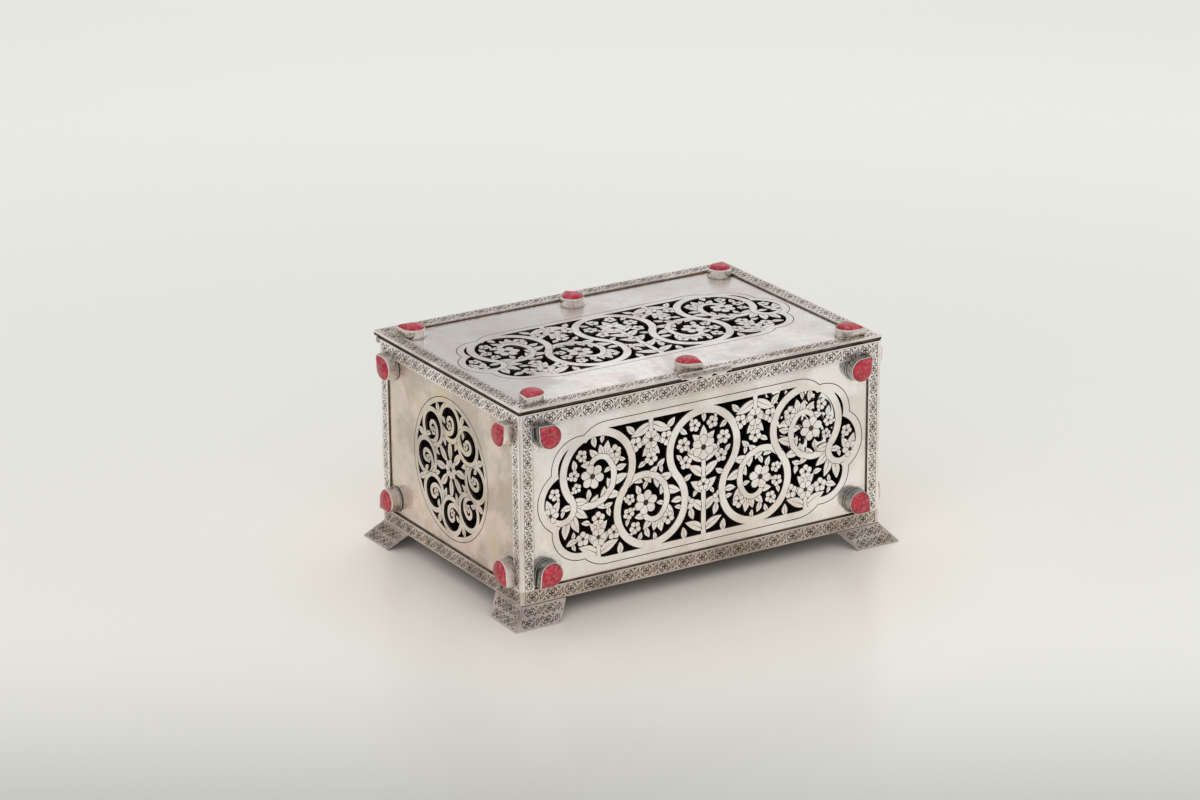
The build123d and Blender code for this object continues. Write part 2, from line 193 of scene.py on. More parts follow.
@dataclass(frozen=True)
class Graver:
    """Widths of the engraved lines and how the leaves and flowers are drawn."""

    edge: float = 0.3
    vein: float = 0.28
    notch: float = 0.68
    heart: float = 0.24
    blade_steps: int = 9
    petal_points: int = 8

    def leaf(self, length: float, width: float, bend: float = 0.0) -> Motif:
        """A pointed leaf from the origin along X with a vein.

        Args:
            length: from root to tip.
            width: at the widest point.
            bend: how far the middle is bowed sideways.

        Returns:
            The leaf.
        """

        def blade(start: float, end: float, wide: float) -> Loop:
            """The outline between two distances from the root.

            Args:
                start: where the outline begins.
                end: where it ends.
                wide: its greatest width.

            Returns:
                The closed outline.
            """
            top: Loop = []
            low: Loop = []
            for i in range(self.blade_steps + 1):
                t = i / self.blade_steps
                u = start + (end - start) * t
                swell = math.sin(math.pi * t ** 0.85) ** 0.9 if 0 < t < 1 else 0.0
                bow = bend * math.sin(math.pi * min(max(u / length, 0), 1))
                top.append((u, wide / 2 * swell + bow))
                if 0 < i < self.blade_steps:
                    low.append((u, -wide / 2 * swell + bow))
            return top + low[::-1]

        spine = [(length * t, bend * math.sin(math.pi * t)) for t in (0.14, 0.35, 0.55, 0.8)]
        vein = ribbon(spine, lambda t: self.vein * (1.25 - t))
        inner = blade(self.edge, length - 2 * self.edge, width - 2 * self.edge)
        return Motif(blade(0, length, width), inner, [vein])

    def flower(self, radius: float, petals: int, turn: float = 0.0) -> Motif:
        """A flower about the origin with a round heart and a line between each two petals.

        Args:
            radius: the petals' reach.
            petals: how many there are.
            turn: the angle of the first petal.

        Returns:
            The flower.
        """

        def rim(size: float) -> Loop:
            """The petals' outline at a size.

            Args:
                size: the petals' reach.

            Returns:
                The closed outline.
            """
            points: Loop = []
            count = petals * self.petal_points
            for i in range(count):
                angle = 360 * i / count
                swell = abs(math.cos(math.radians(angle * petals / 2)))
                share = self.notch + (1 - self.notch) * swell ** 0.8
                points.append(polar((0, 0), size * share, angle + turn))
            return points

        lines = [circle((0, 0), radius * self.heart, 36)]
        for i in range(petals):
            angle = turn + 360 * (i + 0.5) / petals
            ends = [polar((0, 0), radius * share, angle) for share in (self.heart, self.notch * 0.96)]
            lines.append(ribbon(ends, lambda t: self.vein))
        return Motif(rim(radius), rim(radius - self.edge), lines)

    def band(self, path: Sequence[Point], start_width: float, end_width: float) -> Motif:
        """A plain sawn ribbon that tapers evenly along a path from its first width to its last.

        Args:
            path: points along the ribbon's middle.
            start_width: its first width.
            end_width: its last width.

        Returns:
            The ribbon.
        """

        def wide(t: float) -> float:
            """The width at a share of the way."""
            return start_width + (end_width - start_width) * t

        return Motif(ribbon(path, wide), ribbon(path, lambda t: wide(t) - 2 * self.edge))


class Cover(Enum):
    """What a small piece of the sheet is once it has been sawn and engraved."""

    OPEN = 0
    FACE = 1
    GROOVE = 2


@dataclass
class Sheet:
    """A flat sheet with an opening, the motifs that bridge it and the engraving on it."""

    width: float
    height: float
    thickness: float
    centre: Point = (0.0, 0.0)
    corners: Loop | None = None
    opening: list[Loop] = field(default_factory=list)
    motifs: list[Motif] = field(default_factory=list)
    marks: list[Loop] = field(default_factory=list)
    rings: list[Ring] = field(default_factory=list)
    depth: float = 0.12

    def outline(self) -> Loop:
        """The sheet's own outline.

        Returns:
            The closed outline.
        """
        if self.corners:
            return self.corners
        x, y = self.centre
        w, h = self.width / 2, self.height / 2
        return [(x - w, y - h), (x + w, y - h), (x + w, y + h), (x - w, y + h)]

    def cut(self) -> tuple[list[Vector], list[tuple[int, ...]], list[Cover]]:
        """Splits the sheet along every line.

        Returns:
            The flat points, the triangles that are left, and what each of them is.
        """
        points: list[Vector] = []
        loops: list[list[int]] = []
        tags: list[tuple[str, int]] = []

        def add(kind: str, group: Sequence[Loop], index: int = 0) -> None:
            """Adds loops of one kind, each turned counter-clockwise.

            Args:
                kind: what the loops are.
                group: the loops.
                index: the number of their motif or ring.
            """
            for loop in group:
                loops.append(list(range(len(points), len(points) + len(loop))))
                points.extend(Vector(p) for p in (loop if area_of(loop) > 0 else loop[::-1]))
                tags.append((kind, index))

        add("sheet", [self.outline()])
        add("opening", self.opening)
        for i, motif in enumerate(self.motifs):
            add("body", [motif.body], i)
            add("inner", [motif.inner], i)
            add("line", motif.lines, i)
        add("mark", self.marks)
        for i, ring in enumerate(self.rings):
            add("ring", ring.outer, i)
            add("plug", ring.inner, i)
        flat, _, faces, _, _, origins = delaunay_2d_cdt(points, [], loops, 1, 1e-5, True)
        covers = [self.cover({tags[i] for i in origin}) for origin in origins]
        kept = [(tuple(face), cover) for face, cover in zip(faces, covers) if cover is not Cover.OPEN]
        return list(flat), [face for face, _ in kept], [cover for _, cover in kept]

    @staticmethod
    def cover(tags: set[tuple[str, int]]) -> Cover:
        """What a triangle is, from the outlines that it lies in.

        Args:
            tags: kind and number of each outline round the triangle.

        Returns:
            Open, face or groove.
        """
        kinds = {kind for kind, _ in tags}
        if "sheet" not in kinds:
            return Cover.OPEN
        if "opening" in kinds:
            bodies = [i for kind, i in tags if kind == "body"]
            if not bodies:
                return Cover.OPEN
            top = max(bodies)
            crossed = len(bodies) > 1 and ("inner", top) not in tags
            return Cover.GROOVE if crossed or ("line", top) in tags else Cover.FACE
        ring = any(kind == "ring" and ("plug", i) not in tags for kind, i in tags)
        return Cover.GROOVE if ring or "mark" in kinds else Cover.FACE

    def solid(self, name: str, place: Matrix, materials: Sequence[Material]) -> Object:
        """The sheet as a closed solid whose outer face lies in the place's XY plane.

        Args:
            name: the object's name.
            place: carries the sheet, in millimetres, to its place in metres.
            materials: the face's material and the grooves' material.

        Returns:
            The object, in the scene.
        """
        flat, faces, covers = self.cut()
        level = {Cover.FACE: 0.0, Cover.GROOVE: -self.depth}
        verts: list[Vector] = []
        known: dict[tuple[int, float], int] = {}

        def vertex(index: int, height: float) -> int:
            """The number of a flat point's vertex at a height.

            Args:
                index: the flat point's number.
                height: the height, in millimetres.

            Returns:
                The number of the vertex.
            """
            if (index, height) not in known:
                known[index, height] = len(verts)
                verts.append(place @ Vector((flat[index].x, flat[index].y, height)))
            return known[index, height]

        owner: dict[tuple[int, int], int] = {}
        for i, face in enumerate(faces):
            for a, b in zip(face, face[1:] + face[:1]):
                owner[a, b] = i
        out: list[tuple[int, ...]] = []
        groove: list[bool] = []
        for face, cover in zip(faces, covers):
            top = level[cover]
            out.append(tuple(vertex(v, top) for v in face))
            out.append(tuple(vertex(v, -self.thickness) for v in reversed(face)))
            groove += [cover is Cover.GROOVE, False]
            for a, b in zip(face, face[1:] + face[:1]):
                other = owner.get((b, a))
                low = -self.thickness if other is None else level[covers[other]]
                if low < top:
                    out.append((vertex(a, low), vertex(b, low), vertex(b, top), vertex(a, top)))
                    groove.append(other is not None or bool(self.opening))
        mesh = bpy.data.meshes.new(name)
        mesh.from_pydata(verts, [], out)
        for material in materials:
            mesh.materials.append(material)
        mesh.attributes.new("groove", "BOOLEAN", "FACE").data.foreach_set("value", groove)
        mesh.polygons.foreach_set("material_index", [int(flag) for flag in groove])
        mesh.update()
        return link(name, mesh)


# Objects and modifiers


def link(name: str, mesh: Mesh) -> Object:
    """A new object of a mesh, in the scene.

    Args:
        name: the object's name.
        mesh: its mesh.

    Returns:
        The object.
    """
    made = bpy.data.objects.new(name, mesh)
    bpy.context.scene.collection.objects.link(made)
    return made


def settle(made: Object, body: str, replaced: Sequence[str]) -> None:
    """Hands a finished piece to the frame.

    Args:
        made: the piece.
        body: the CAD body that it moves with.
        replaced: the CAD nodes that it stands for.
    """
    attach(made, body)
    if replaced:
        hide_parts(*replaced)
    LOG.info("%s: %d faces", made.name, len(made.data.polygons))


def baked(made: Object) -> Object:
    """Turns an object with modifiers into a plain mesh and takes the modifiers off.

    Args:
        made: the object.

    Returns:
        The same object.
    """
    graph = bpy.context.evaluated_depsgraph_get()
    plain = bpy.data.meshes.new_from_object(made.evaluated_get(graph))
    made.modifiers.clear()
    made.data = plain
    return made


def meshed(name: str, shape: bmesh.types.BMesh, materials: Sequence[Material]) -> Mesh:
    """Turns an edited shape into a mesh with its materials, and frees the shape.

    Args:
        name: the mesh's name.
        shape: the edited shape; it is freed.
        materials: the mesh's materials.

    Returns:
        The mesh.
    """
    mesh = bpy.data.meshes.new(name)
    shape.to_mesh(mesh)
    shape.free()
    for material in materials:
        mesh.materials.append(material)
    return mesh


def joined(name: str, parts: Sequence[Object]) -> Object:
    """One object from several, with their materials kept apart.

    Args:
        name: the new object's name.
        parts: the objects to join; they are removed.

    Returns:
        The joined object.
    """
    merged = bmesh.new()
    materials: list[Material] = []
    for part in parts:
        first = len(merged.faces)
        merged.from_mesh(part.data)
        merged.faces.ensure_lookup_table()
        materials += [material for material in part.data.materials if material not in materials]
        lookup = [materials.index(material) for material in part.data.materials]
        for face in merged.faces[first:]:
            face.material_index = lookup[face.material_index]
        bpy.data.objects.remove(part)
    return link(name, meshed(name, merged, materials))


def softened(name: str, nodes: Sequence[str], material: Material, width: float) -> Object:
    """A copy of CAD pieces with small rounded edges.

    Args:
        name: the copy's name.
        nodes: the CAD nodes to copy.
        material: its finish.
        width: how far the rounding reaches from each edge, in millimetres.

    Returns:
        The copy.
    """
    copies = []
    for node in nodes:
        shape = bmesh.new()
        shape.from_mesh(bpy.data.objects[node].data)
        bmesh.ops.remove_doubles(shape, verts=shape.verts, dist=1e-6)
        flat = math.radians(2)
        bmesh.ops.dissolve_limit(shape, angle_limit=flat, verts=shape.verts, edges=shape.edges)
        copy = link(f"{name}_{node}", meshed(name, shape, [material]))
        edge = copy.modifiers.new("rounded edge", "BEVEL")
        edge.width = width * MM
        edge.segments = 2
        edge.limit_method = "ANGLE"
        edge.angle_limit = math.radians(25)
        edge.harden_normals = False
        copies.append(baked(copy))
    return joined(name, copies)


def plane_at(origin: Vector, across: Vector, outward: Vector) -> Matrix:
    """Carries flat millimetres to metres in the frame.

    Args:
        origin: where the flat origin goes, in metres.
        across: the direction of the flat X axis.
        outward: the direction that the face looks.

    Returns:
        The matrix.
    """
    turn = Matrix((across, outward.cross(across), outward)).transposed().to_4x4()
    return Matrix.Translation(origin) @ turn @ Matrix.Scale(MM, 4)


def face_of(node: str, outward: Vector) -> tuple[Vector, Vector]:
    """The face of a CAD node's box that looks along an axis.

    Args:
        node: the CAD node.
        outward: the direction that the face looks.

    Returns:
        The face's middle in metres, and the box's size in millimetres.
    """
    low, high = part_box(node)
    middle = (low + high) / 2
    ends = {1: high, 0: middle, -1: low}
    return Vector([ends[round(outward[i])][i] for i in range(3)]), (high - low) / MM


def lid_face() -> tuple[Matrix, Vector]:
    """The lid plate's upper face: its place, and the plate's size in millimetres."""
    middle, size = face_of("lid_plate", UP)
    return plane_at(middle, EAST, UP), size


# Node trees and finishes


class NodeKit:
    """Short calls for building a node tree."""

    def __init__(self, tree: NodeTree) -> None:
        """Keeps the tree that nodes are added to."""
        self.tree = tree

    @staticmethod
    def start(kind: str, name: str, inputs: dict[str, str]) -> tuple[NodeKit, dict[str, NodeSocket]]:
        """A new node group with named inputs.

        Args:
            kind: the tree's type name.
            name: the group's name.
            inputs: socket kind by input name.

        Returns:
            The group's kit, and its input sockets by name.
        """
        tree = bpy.data.node_groups.new(name, kind)
        for label, socket in inputs.items():
            tree.interface.new_socket(label, in_out="INPUT", socket_type=f"NodeSocket{socket}")
        given = tree.nodes.new("NodeGroupInput").outputs
        return NodeKit(tree), {label: given[label] for label in inputs}

    def finish(self, results: dict[str, NodeSocket]) -> NodeTree:
        """Gives the group its outputs and returns its tree.

        Args:
            results: output sockets by output name.

        Returns:
            The group's tree.
        """
        kinds = {"VALUE": "Float", "VECTOR": "Vector", "GEOMETRY": "Geometry"}
        for label, socket in results.items():
            kind = f"NodeSocket{kinds[socket.type]}"
            self.tree.interface.new_socket(label, in_out="OUTPUT", socket_type=kind)
        self.fill(self.tree.nodes.new("NodeGroupOutput"), results)
        return self.tree

    def fill(self, made: Node, values: dict[str | int, object]) -> Node:
        """Sets a node's inputs by name or number: sockets are linked, and other values are set.

        Args:
            made: the node.
            values: default values, or output sockets to link, by input name or number.

        Returns:
            The same node.
        """
        for key, value in values.items():
            if isinstance(value, NodeSocket):
                self.tree.links.new(value, made.inputs[key])
            else:
                made.inputs[key].default_value = value
        return made

    def node(self, kind: str, values: dict[str | int, object] | None = None, **settings: object) -> Node:
        """Adds a node.

        Args:
            kind: the node's type name.
            values: default values, or output sockets to link, by input name or number.
            settings: the node's own properties.

        Returns:
            The node.
        """
        made = self.tree.nodes.new(kind)
        for key, value in settings.items():
            setattr(made, key, value)
        return self.fill(made, values or {})

    def out(self, kind: str, values: dict[str | int, object], **settings: object) -> NodeSocket:
        """A new node's first output."""
        return self.node(kind, values, **settings).outputs[0]

    def math(self, operation: str, a: object, b: object = 0.0, clamp: bool = False) -> NodeSocket:
        """The result of one sum of two numbers or sockets."""
        return self.out("ShaderNodeMath", {0: a, 1: b}, operation=operation, use_clamp=clamp)

    def times(self, a: object, b: object) -> NodeSocket:
        """The product of two numbers or sockets."""
        return self.math("MULTIPLY", a, b)

    def rest(self, a: object) -> NodeSocket:
        """What is left of 1."""
        return self.math("SUBTRACT", 1.0, a)

    def vector(self, operation: str, values: dict[str | int, object]) -> NodeSocket:
        """The vector that comes of one sum of vectors."""
        return self.node("ShaderNodeVectorMath", values, operation=operation).outputs["Vector"]

    def mix(self, factor: object, a: object, b: object) -> NodeSocket:
        """A colour between two colours."""
        return self.node("ShaderNodeMix", {0: factor, 6: a, 7: b}, data_type="RGBA").outputs[2]

    def noise(self, at: NodeSocket, scale: float, detail: float, roughness: float = 0.55) -> NodeSocket:
        """A noise value from 0 to 1."""
        values = {"Vector": at, "Scale": scale, "Detail": detail, "Roughness": roughness}
        return self.node("ShaderNodeTexNoise", values).outputs["Fac"]

    def ramp(self, value: object, low: float, high: float) -> NodeSocket:
        """0 below one value, 1 above another, and smooth between them."""
        values = {0: value, 1: low, 2: high, 3: 0.0, 4: 1.0}
        return self.out("ShaderNodeMapRange", values, interpolation_type="SMOOTHSTEP")


def painted(name: str) -> tuple[Material, NodeKit, Node, NodeSocket]:
    """A new material with its kit, its shader and its object coordinates.

    Args:
        name: the material's name.
    """
    made = bpy.data.materials.new(name)
    made.use_nodes = True
    kit = NodeKit(made.node_tree)
    place = kit.node("ShaderNodeTexCoord").outputs["Object"]
    return made, kit, made.node_tree.nodes["Principled BSDF"], place


@dataclass(frozen=True)
class TarnishGroup:
    """Clouds, patches and hollows of tarnish on silver; widths are in metres."""

    smudge_width: float = 0.0050
    smudge_share: float = 0.7
    edge_width: float = 0.0007
    bump_depth: float = 0.0006

    def build(self) -> NodeTree:
        """Makes the group.

        Returns:
            A group that takes object coordinates, the width of the hollows and the strength of the grain,
            and puts out masks and a normal.
        """
        inputs = {"Coordinates": "Vector", "Hollow width": "Float", "Grain": "Float"}
        kit, given = NodeKit.start("ShaderNodeTree", "Tarnish on silver", inputs)
        place = given["Coordinates"]

        def shut(width: object, low: float, high: float, within: bool = False) -> NodeSocket:
            """1 where other metal is nearer than a width, or, within the metal, where it is thin."""
            made = kit.node("ShaderNodeAmbientOcclusion", {"Distance": width}, samples=6, inside=within)
            return kit.rest(kit.ramp(made.outputs["AO"], low, high))

        def patches(aside: tuple[float, ...], scale: float, low: float, high: float) -> NodeSocket:
            """Soft patches of a size, away from the other patches."""
            moved = kit.vector("ADD", {0: place, 1: aside})
            return kit.ramp(kit.noise(moved, scale, 4.0), low, high)

        broad = kit.ramp(kit.noise(place, 42.0, 5.0, 0.6), 0.44, 0.64)
        fine = kit.ramp(kit.noise(place, 230.0, 5.0, 0.65), 0.46, 0.72)
        specks = kit.ramp(kit.noise(place, 620.0, 5.0, 0.7), 0.47, 0.6)
        smudge = kit.times(kit.times(shut(self.smudge_width, 0.55, 0.97), specks), self.smudge_share)
        masks = {
            "Cloud": kit.math("ADD", broad, kit.times(fine, 0.45), True),
            "Rose": patches((3.1, 1.7, 0.4), 60.0, 0.46, 0.66),
            "Amber": patches((0.9, 5.2, 2.3), 48.0, 0.5, 0.68),
            "Hollow": kit.math("MAXIMUM", shut(given["Hollow width"], 0.35, 0.95), smudge),
            "Edge": shut(self.edge_width, 0.35, 0.9, True),
        }
        grain = kit.times(kit.noise(place, 1400.0, 3.0, 0.7), 0.06)
        height = kit.math("ADD", kit.noise(place, 45.0, 2.0), grain)
        values = {"Strength": given["Grain"], "Distance": self.bump_depth, "Height": height}
        return kit.finish(masks | {"Normal": kit.node("ShaderNodeBump", values).outputs["Normal"]})


def inside_and_gap_shade_group() -> NodeTree:
    """Where a surface lies inside the box, to be darkened, or in the gap under the lid, to get painted
    shade.

    Returns:
        A group with the object coordinates and the box's inner sizes in, and a mask out.
    """
    sizes = ("Half length", "Half depth", "Top", "Gap middle", "Gap reach")
    inputs = {"Coordinates": "Vector"} | {label: "Float" for label in sizes}
    kit, given = NodeKit.start("ShaderNodeTree", "Inside of the box", inputs)
    x, y, z = kit.node("ShaderNodeSeparateXYZ", {0: given["Coordinates"]}).outputs
    across = kit.math("LESS_THAN", kit.math("ABSOLUTE", x), given["Half length"])
    along = kit.math("LESS_THAN", kit.math("ABSOLUTE", y), given["Half depth"])
    below = kit.math("LESS_THAN", z, given["Top"])
    # The gap under the lid: this part of the mask paints shade there.
    off_gap = kit.math("ABSOLUTE", kit.math("SUBTRACT", z, given["Gap middle"]))
    gap = kit.math("LESS_THAN", off_gap, given["Gap reach"])
    room = kit.times(kit.times(across, along), below)
    return kit.finish({"Mask": kit.math("MAXIMUM", room, gap)})


@dataclass(frozen=True)
class Groups:
    """The shader groups that every silver finish shares, and the box's inner sizes for them."""

    tarnish: NodeTree
    inside: NodeTree
    inner_size: dict[str, float]


@dataclass(frozen=True)
class Silver:
    """A silver finish: plain colour, tarnish colour, and how polished it is."""

    name: str
    colour: Colour = (0.99, 0.955, 0.93, 1)
    tarnish: Colour = (0.82, 0.735, 0.68, 1)
    rose: Colour = (0.90, 0.70, 0.65, 1)
    amber: Colour = (0.70, 0.58, 0.40, 1)
    hollow: Colour = (0.11, 0.085, 0.07, 1)
    worn: Colour = (0.97, 0.93, 0.89, 1)
    # inner and inner_pale darken the inside of the box and are painted shade in the gap under the lid.
    inner: Colour = (0.040, 0.031, 0.026, 1)
    inner_pale: Colour = (0.105, 0.084, 0.070, 1)
    roughness: float = 0.15
    cloud_roughness: float = 0.16
    inner_roughness: float = 0.4
    cloud_share: float = 0.5
    rose_share: float = 0.45
    amber_share: float = 0.3
    hollow_share: float = 0.85
    worn_share: float = 0.6
    hollow_width: float = 0.0016
    grain: float = 0.25

    def material(self, groups: Groups) -> Material:
        """Builds the material.

        Args:
            groups: the shared shader groups and the box's inner size.

        Returns:
            The material.
        """
        made, kit, shader, place = painted(self.name)
        values = {"Coordinates": place, "Grain": self.grain, "Hollow width": self.hollow_width}
        tarnish = kit.node("ShaderNodeGroup", values, node_tree=groups.tarnish).outputs
        sizes = {"Coordinates": place} | groups.inner_size
        inside = kit.node("ShaderNodeGroup", sizes, node_tree=groups.inside).outputs["Mask"]
        colour = self.colour
        for mask, share, over in (
            ("Rose", self.rose_share, self.rose),
            ("Amber", self.amber_share, self.amber),
            ("Cloud", self.cloud_share, self.tarnish),
            ("Hollow", self.hollow_share, self.hollow),
            ("Edge", self.worn_share, self.worn),
        ):
            colour = kit.mix(kit.times(tarnish[mask], share), colour, over)
        rough = kit.math("ADD", kit.times(tarnish["Cloud"], self.cloud_roughness), self.roughness)
        # Inside the box the colour is darkened, and in the gap under the lid it is painted shade.
        looks = {
            "Base Color": kit.mix(inside, colour, kit.mix(tarnish["Cloud"], self.inner_pale, self.inner)),
            "Roughness": kit.math("ADD", rough, kit.times(inside, self.inner_roughness), True),
            "Normal": tarnish["Normal"],
            "Metallic": 1.0,
        }
        kit.fill(shader, looks)
        return made


@dataclass(frozen=True)
class Stone:
    """A polished red stone with paler veins."""

    name: str
    colour: Colour = (0.53, 0.034, 0.064, 1)
    vein: Colour = (0.80, 0.38, 0.30, 1)
    deep: Colour = (0.36, 0.012, 0.036, 1)
    roughness: float = 0.18
    vein_share: float = 0.7
    warp: float = 0.0016
    glow: float = 0.08
    glow_depth: float = 0.001

    def material(self) -> Material:
        """Builds the material.

        Returns:
            The material.
        """
        made, kit, shader, place = painted(self.name)
        cloud = kit.ramp(kit.noise(place, 260.0, 4.0, 0.6), 0.38, 0.66)
        patchy = kit.ramp(kit.noise(place, 500.0, 2.0), 0.48, 0.62)
        swirl = {"Vector": place, "Scale": 300.0, "Detail": 3.0}
        swirl = kit.node("ShaderNodeTexNoise", swirl).outputs["Color"]
        aside = kit.vector("SCALE", {0: swirl, "Scale": self.warp})
        warped = {"Vector": kit.vector("MULTIPLY_ADD", {0: place, 1: swirl, 2: aside}), "Scale": 420.0}
        cells = kit.node("ShaderNodeTexVoronoi", warped, feature="DISTANCE_TO_EDGE")
        veins = kit.rest(kit.ramp(cells.outputs["Distance"], 0.0, 0.12))
        share = kit.times(kit.times(veins, patchy), self.vein_share)
        looks = {
            "Base Color": kit.mix(share, kit.mix(cloud, self.deep, self.colour), self.vein),
            "Roughness": self.roughness,
            "Subsurface Weight": self.glow,
            "Subsurface Scale": self.glow_depth,
        }
        kit.fill(shader, looks)
        return made


@dataclass(frozen=True)
class Filling:
    """The dark filling of engraved and stamped lines, and solder."""

    name: str
    colour: Colour = (0.038, 0.027, 0.021, 1)
    roughness: float = 0.6
    paler: float = 3.0
    metallic: float = 0.5

    def material(self) -> Material:
        """Builds the material.

        Returns:
            The material.
        """
        made, kit, shader, place = painted(self.name)
        patch = kit.ramp(kit.noise(place, 220.0, 3.0), 0.35, 0.75)
        pale = (*(min(1.0, part * self.paler) for part in self.colour[:3]), 1)
        colour = kit.mix(patch, self.colour, pale)
        kit.fill(shader, {"Base Color": colour, "Roughness": self.roughness, "Metallic": self.metallic})
        return made


@dataclass(frozen=True)
class Finishes:
    """Every material of the casket."""

    sheet: Material
    lid: Material
    end: Material
    stamped: Material
    lid_stamped: Material
    low_stamped: Material
    pressed: Material
    low_pressed: Material
    lid_pressed: Material
    lines: Material
    solder: Material
    collet: Material
    dark_collet: Material
    hinge: Material
    stone: Material
    shaded_lid_stone: Material

    @staticmethod
    def groups() -> Groups:
        """The shader groups, with the box's inner size read from the frame.

        Returns:
            The groups and the inner size, in metres.
        """
        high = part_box("base_plate")[1]
        lid_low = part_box("lid_plate")[0].z
        wall_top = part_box("front_panel")[1].z
        margin, shaded_gap_margin = 0.05 * MM, 0.04 * MM
        inner = {
            "Half length": high.x + margin,
            "Half depth": high.y + margin,
            "Top": lid_low + margin,
            # The gap under the lid, where shade is painted.
            "Gap middle": (lid_low + wall_top) / 2,
            "Gap reach": (lid_low - wall_top) / 2 + shaded_gap_margin,
        }
        return Groups(TarnishGroup().build(), inside_and_gap_shade_group(), inner)

    @staticmethod
    def build() -> Finishes:
        """Makes the materials.

        Returns:
            The materials.
        """
        sheet = Silver("sheet_silver")
        stamped = Silver(
            "stamped_silver",
            colour=(1.0, 0.95, 0.92, 1),
            tarnish=(0.77, 0.66, 0.61, 1),
            roughness=0.28,
            cloud_share=0.55,
            hollow_share=0.9,
            hollow_width=0.0009,
        )
        # Darker copies for the bottom strips and feet: darker towards the bottom.
        low = {"colour": (0.70, 0.605, 0.55, 1), "tarnish": (0.32, 0.255, 0.21, 1)}
        lid = {"colour": (0.95, 0.89, 0.84, 1), "tarnish": (0.55, 0.47, 0.42, 1)}
        silvers = {
            "sheet": sheet,
            "lid": replace(
                sheet,
                colour=(0.94, 0.92, 0.91, 1),
                tarnish=(0.68, 0.62, 0.595, 1),
                amber_share=0.15,
            ),
            # Both ends: a darker, browner copy with painted shade, and more rose and amber tarnish.
            "end": replace(
                sheet,
                colour=(0.72, 0.635, 0.57, 1),
                tarnish=(0.44, 0.365, 0.31, 1),
                rose_share=0.7,
                amber_share=0.75,
            ),
            "stamped": stamped,
            "low_stamped": replace(stamped, **low),
            "lid_stamped": replace(stamped, **lid),
            "pressed": replace(stamped, worn_share=0.0),
            "low_pressed": replace(stamped, worn_share=0.0, **low),
            "lid_pressed": replace(stamped, worn_share=0.0, **lid),
            "collet": replace(sheet, colour=(1.0, 0.95, 0.89, 1), roughness=0.14, grain=0.1),
            # Collets on the front: darker, cooler walls with painted shade and dark reflection, and
            # tarnish.
            "dark_collet": replace(
                sheet,
                colour=(0.46, 0.47, 0.45, 1),
                tarnish=(0.15, 0.165, 0.16, 1),
                roughness=0.2,
                cloud_share=0.8,
                rose_share=0.2,
                amber_share=0.2,
                worn_share=0.3,
            ),
            "hinge": replace(sheet, colour=(0.26, 0.22, 0.19, 1), roughness=0.35),
        }
        groups = Finishes.groups()
        return Finishes(
            **{key: replace(look, name=f"{key}_silver").material(groups) for key, look in silvers.items()},
            lines=Filling("tarnished_lines").material(),
            solder=Filling("solder_lines", colour=(0.075, 0.052, 0.040, 1), roughness=0.45).material(),
            stone=Stone("red_stone").material(),
            # The lid's stones: a darker copy of the red stone, with painted shade to offset the light from
            # above.
            shaded_lid_stone=Stone(
                "deep_red_stone",
                colour=(0.50, 0.020, 0.055, 1),
                vein=(0.80, 0.34, 0.30, 1),
                deep=(0.33, 0.010, 0.035, 1),
            ).material(),
        )


# Pierced work


def inside(points: np.ndarray, loop: Sequence[Point]) -> np.ndarray:
    """Which of many points lie inside a closed loop.

    Args:
        points: the points, a row each.
        loop: the closed loop.

    Returns:
        True for each point inside.
    """
    x, y = points.T
    hit = np.zeros(len(points), bool)
    for (x0, y0), (x1, y1) in zip(loop, [*loop[1:], loop[0]]):
        if y0 != y1:
            hit ^= ((y0 > y) != (y1 > y)) & (x < (x1 - x0) * (y - y0) / (y1 - y0) + x0)
    return hit


def samples(loop: Sequence[Point], step: float = 0.5) -> np.ndarray:
    """Points along a closed loop, no further apart than a step.

    Args:
        loop: the closed loop.
        step: the greatest distance between two points.

    Returns:
        The points, a row each.
    """
    out: list[Point] = []
    for (x0, y0), (x1, y1) in zip(loop, [*loop[1:], loop[0]]):
        count = max(1, math.ceil(math.hypot(x1 - x0, y1 - y0) / step))
        out.extend((x0 + (x1 - x0) * i / count, y0 + (y1 - y0) * i / count) for i in range(count))
    return np.array(out)


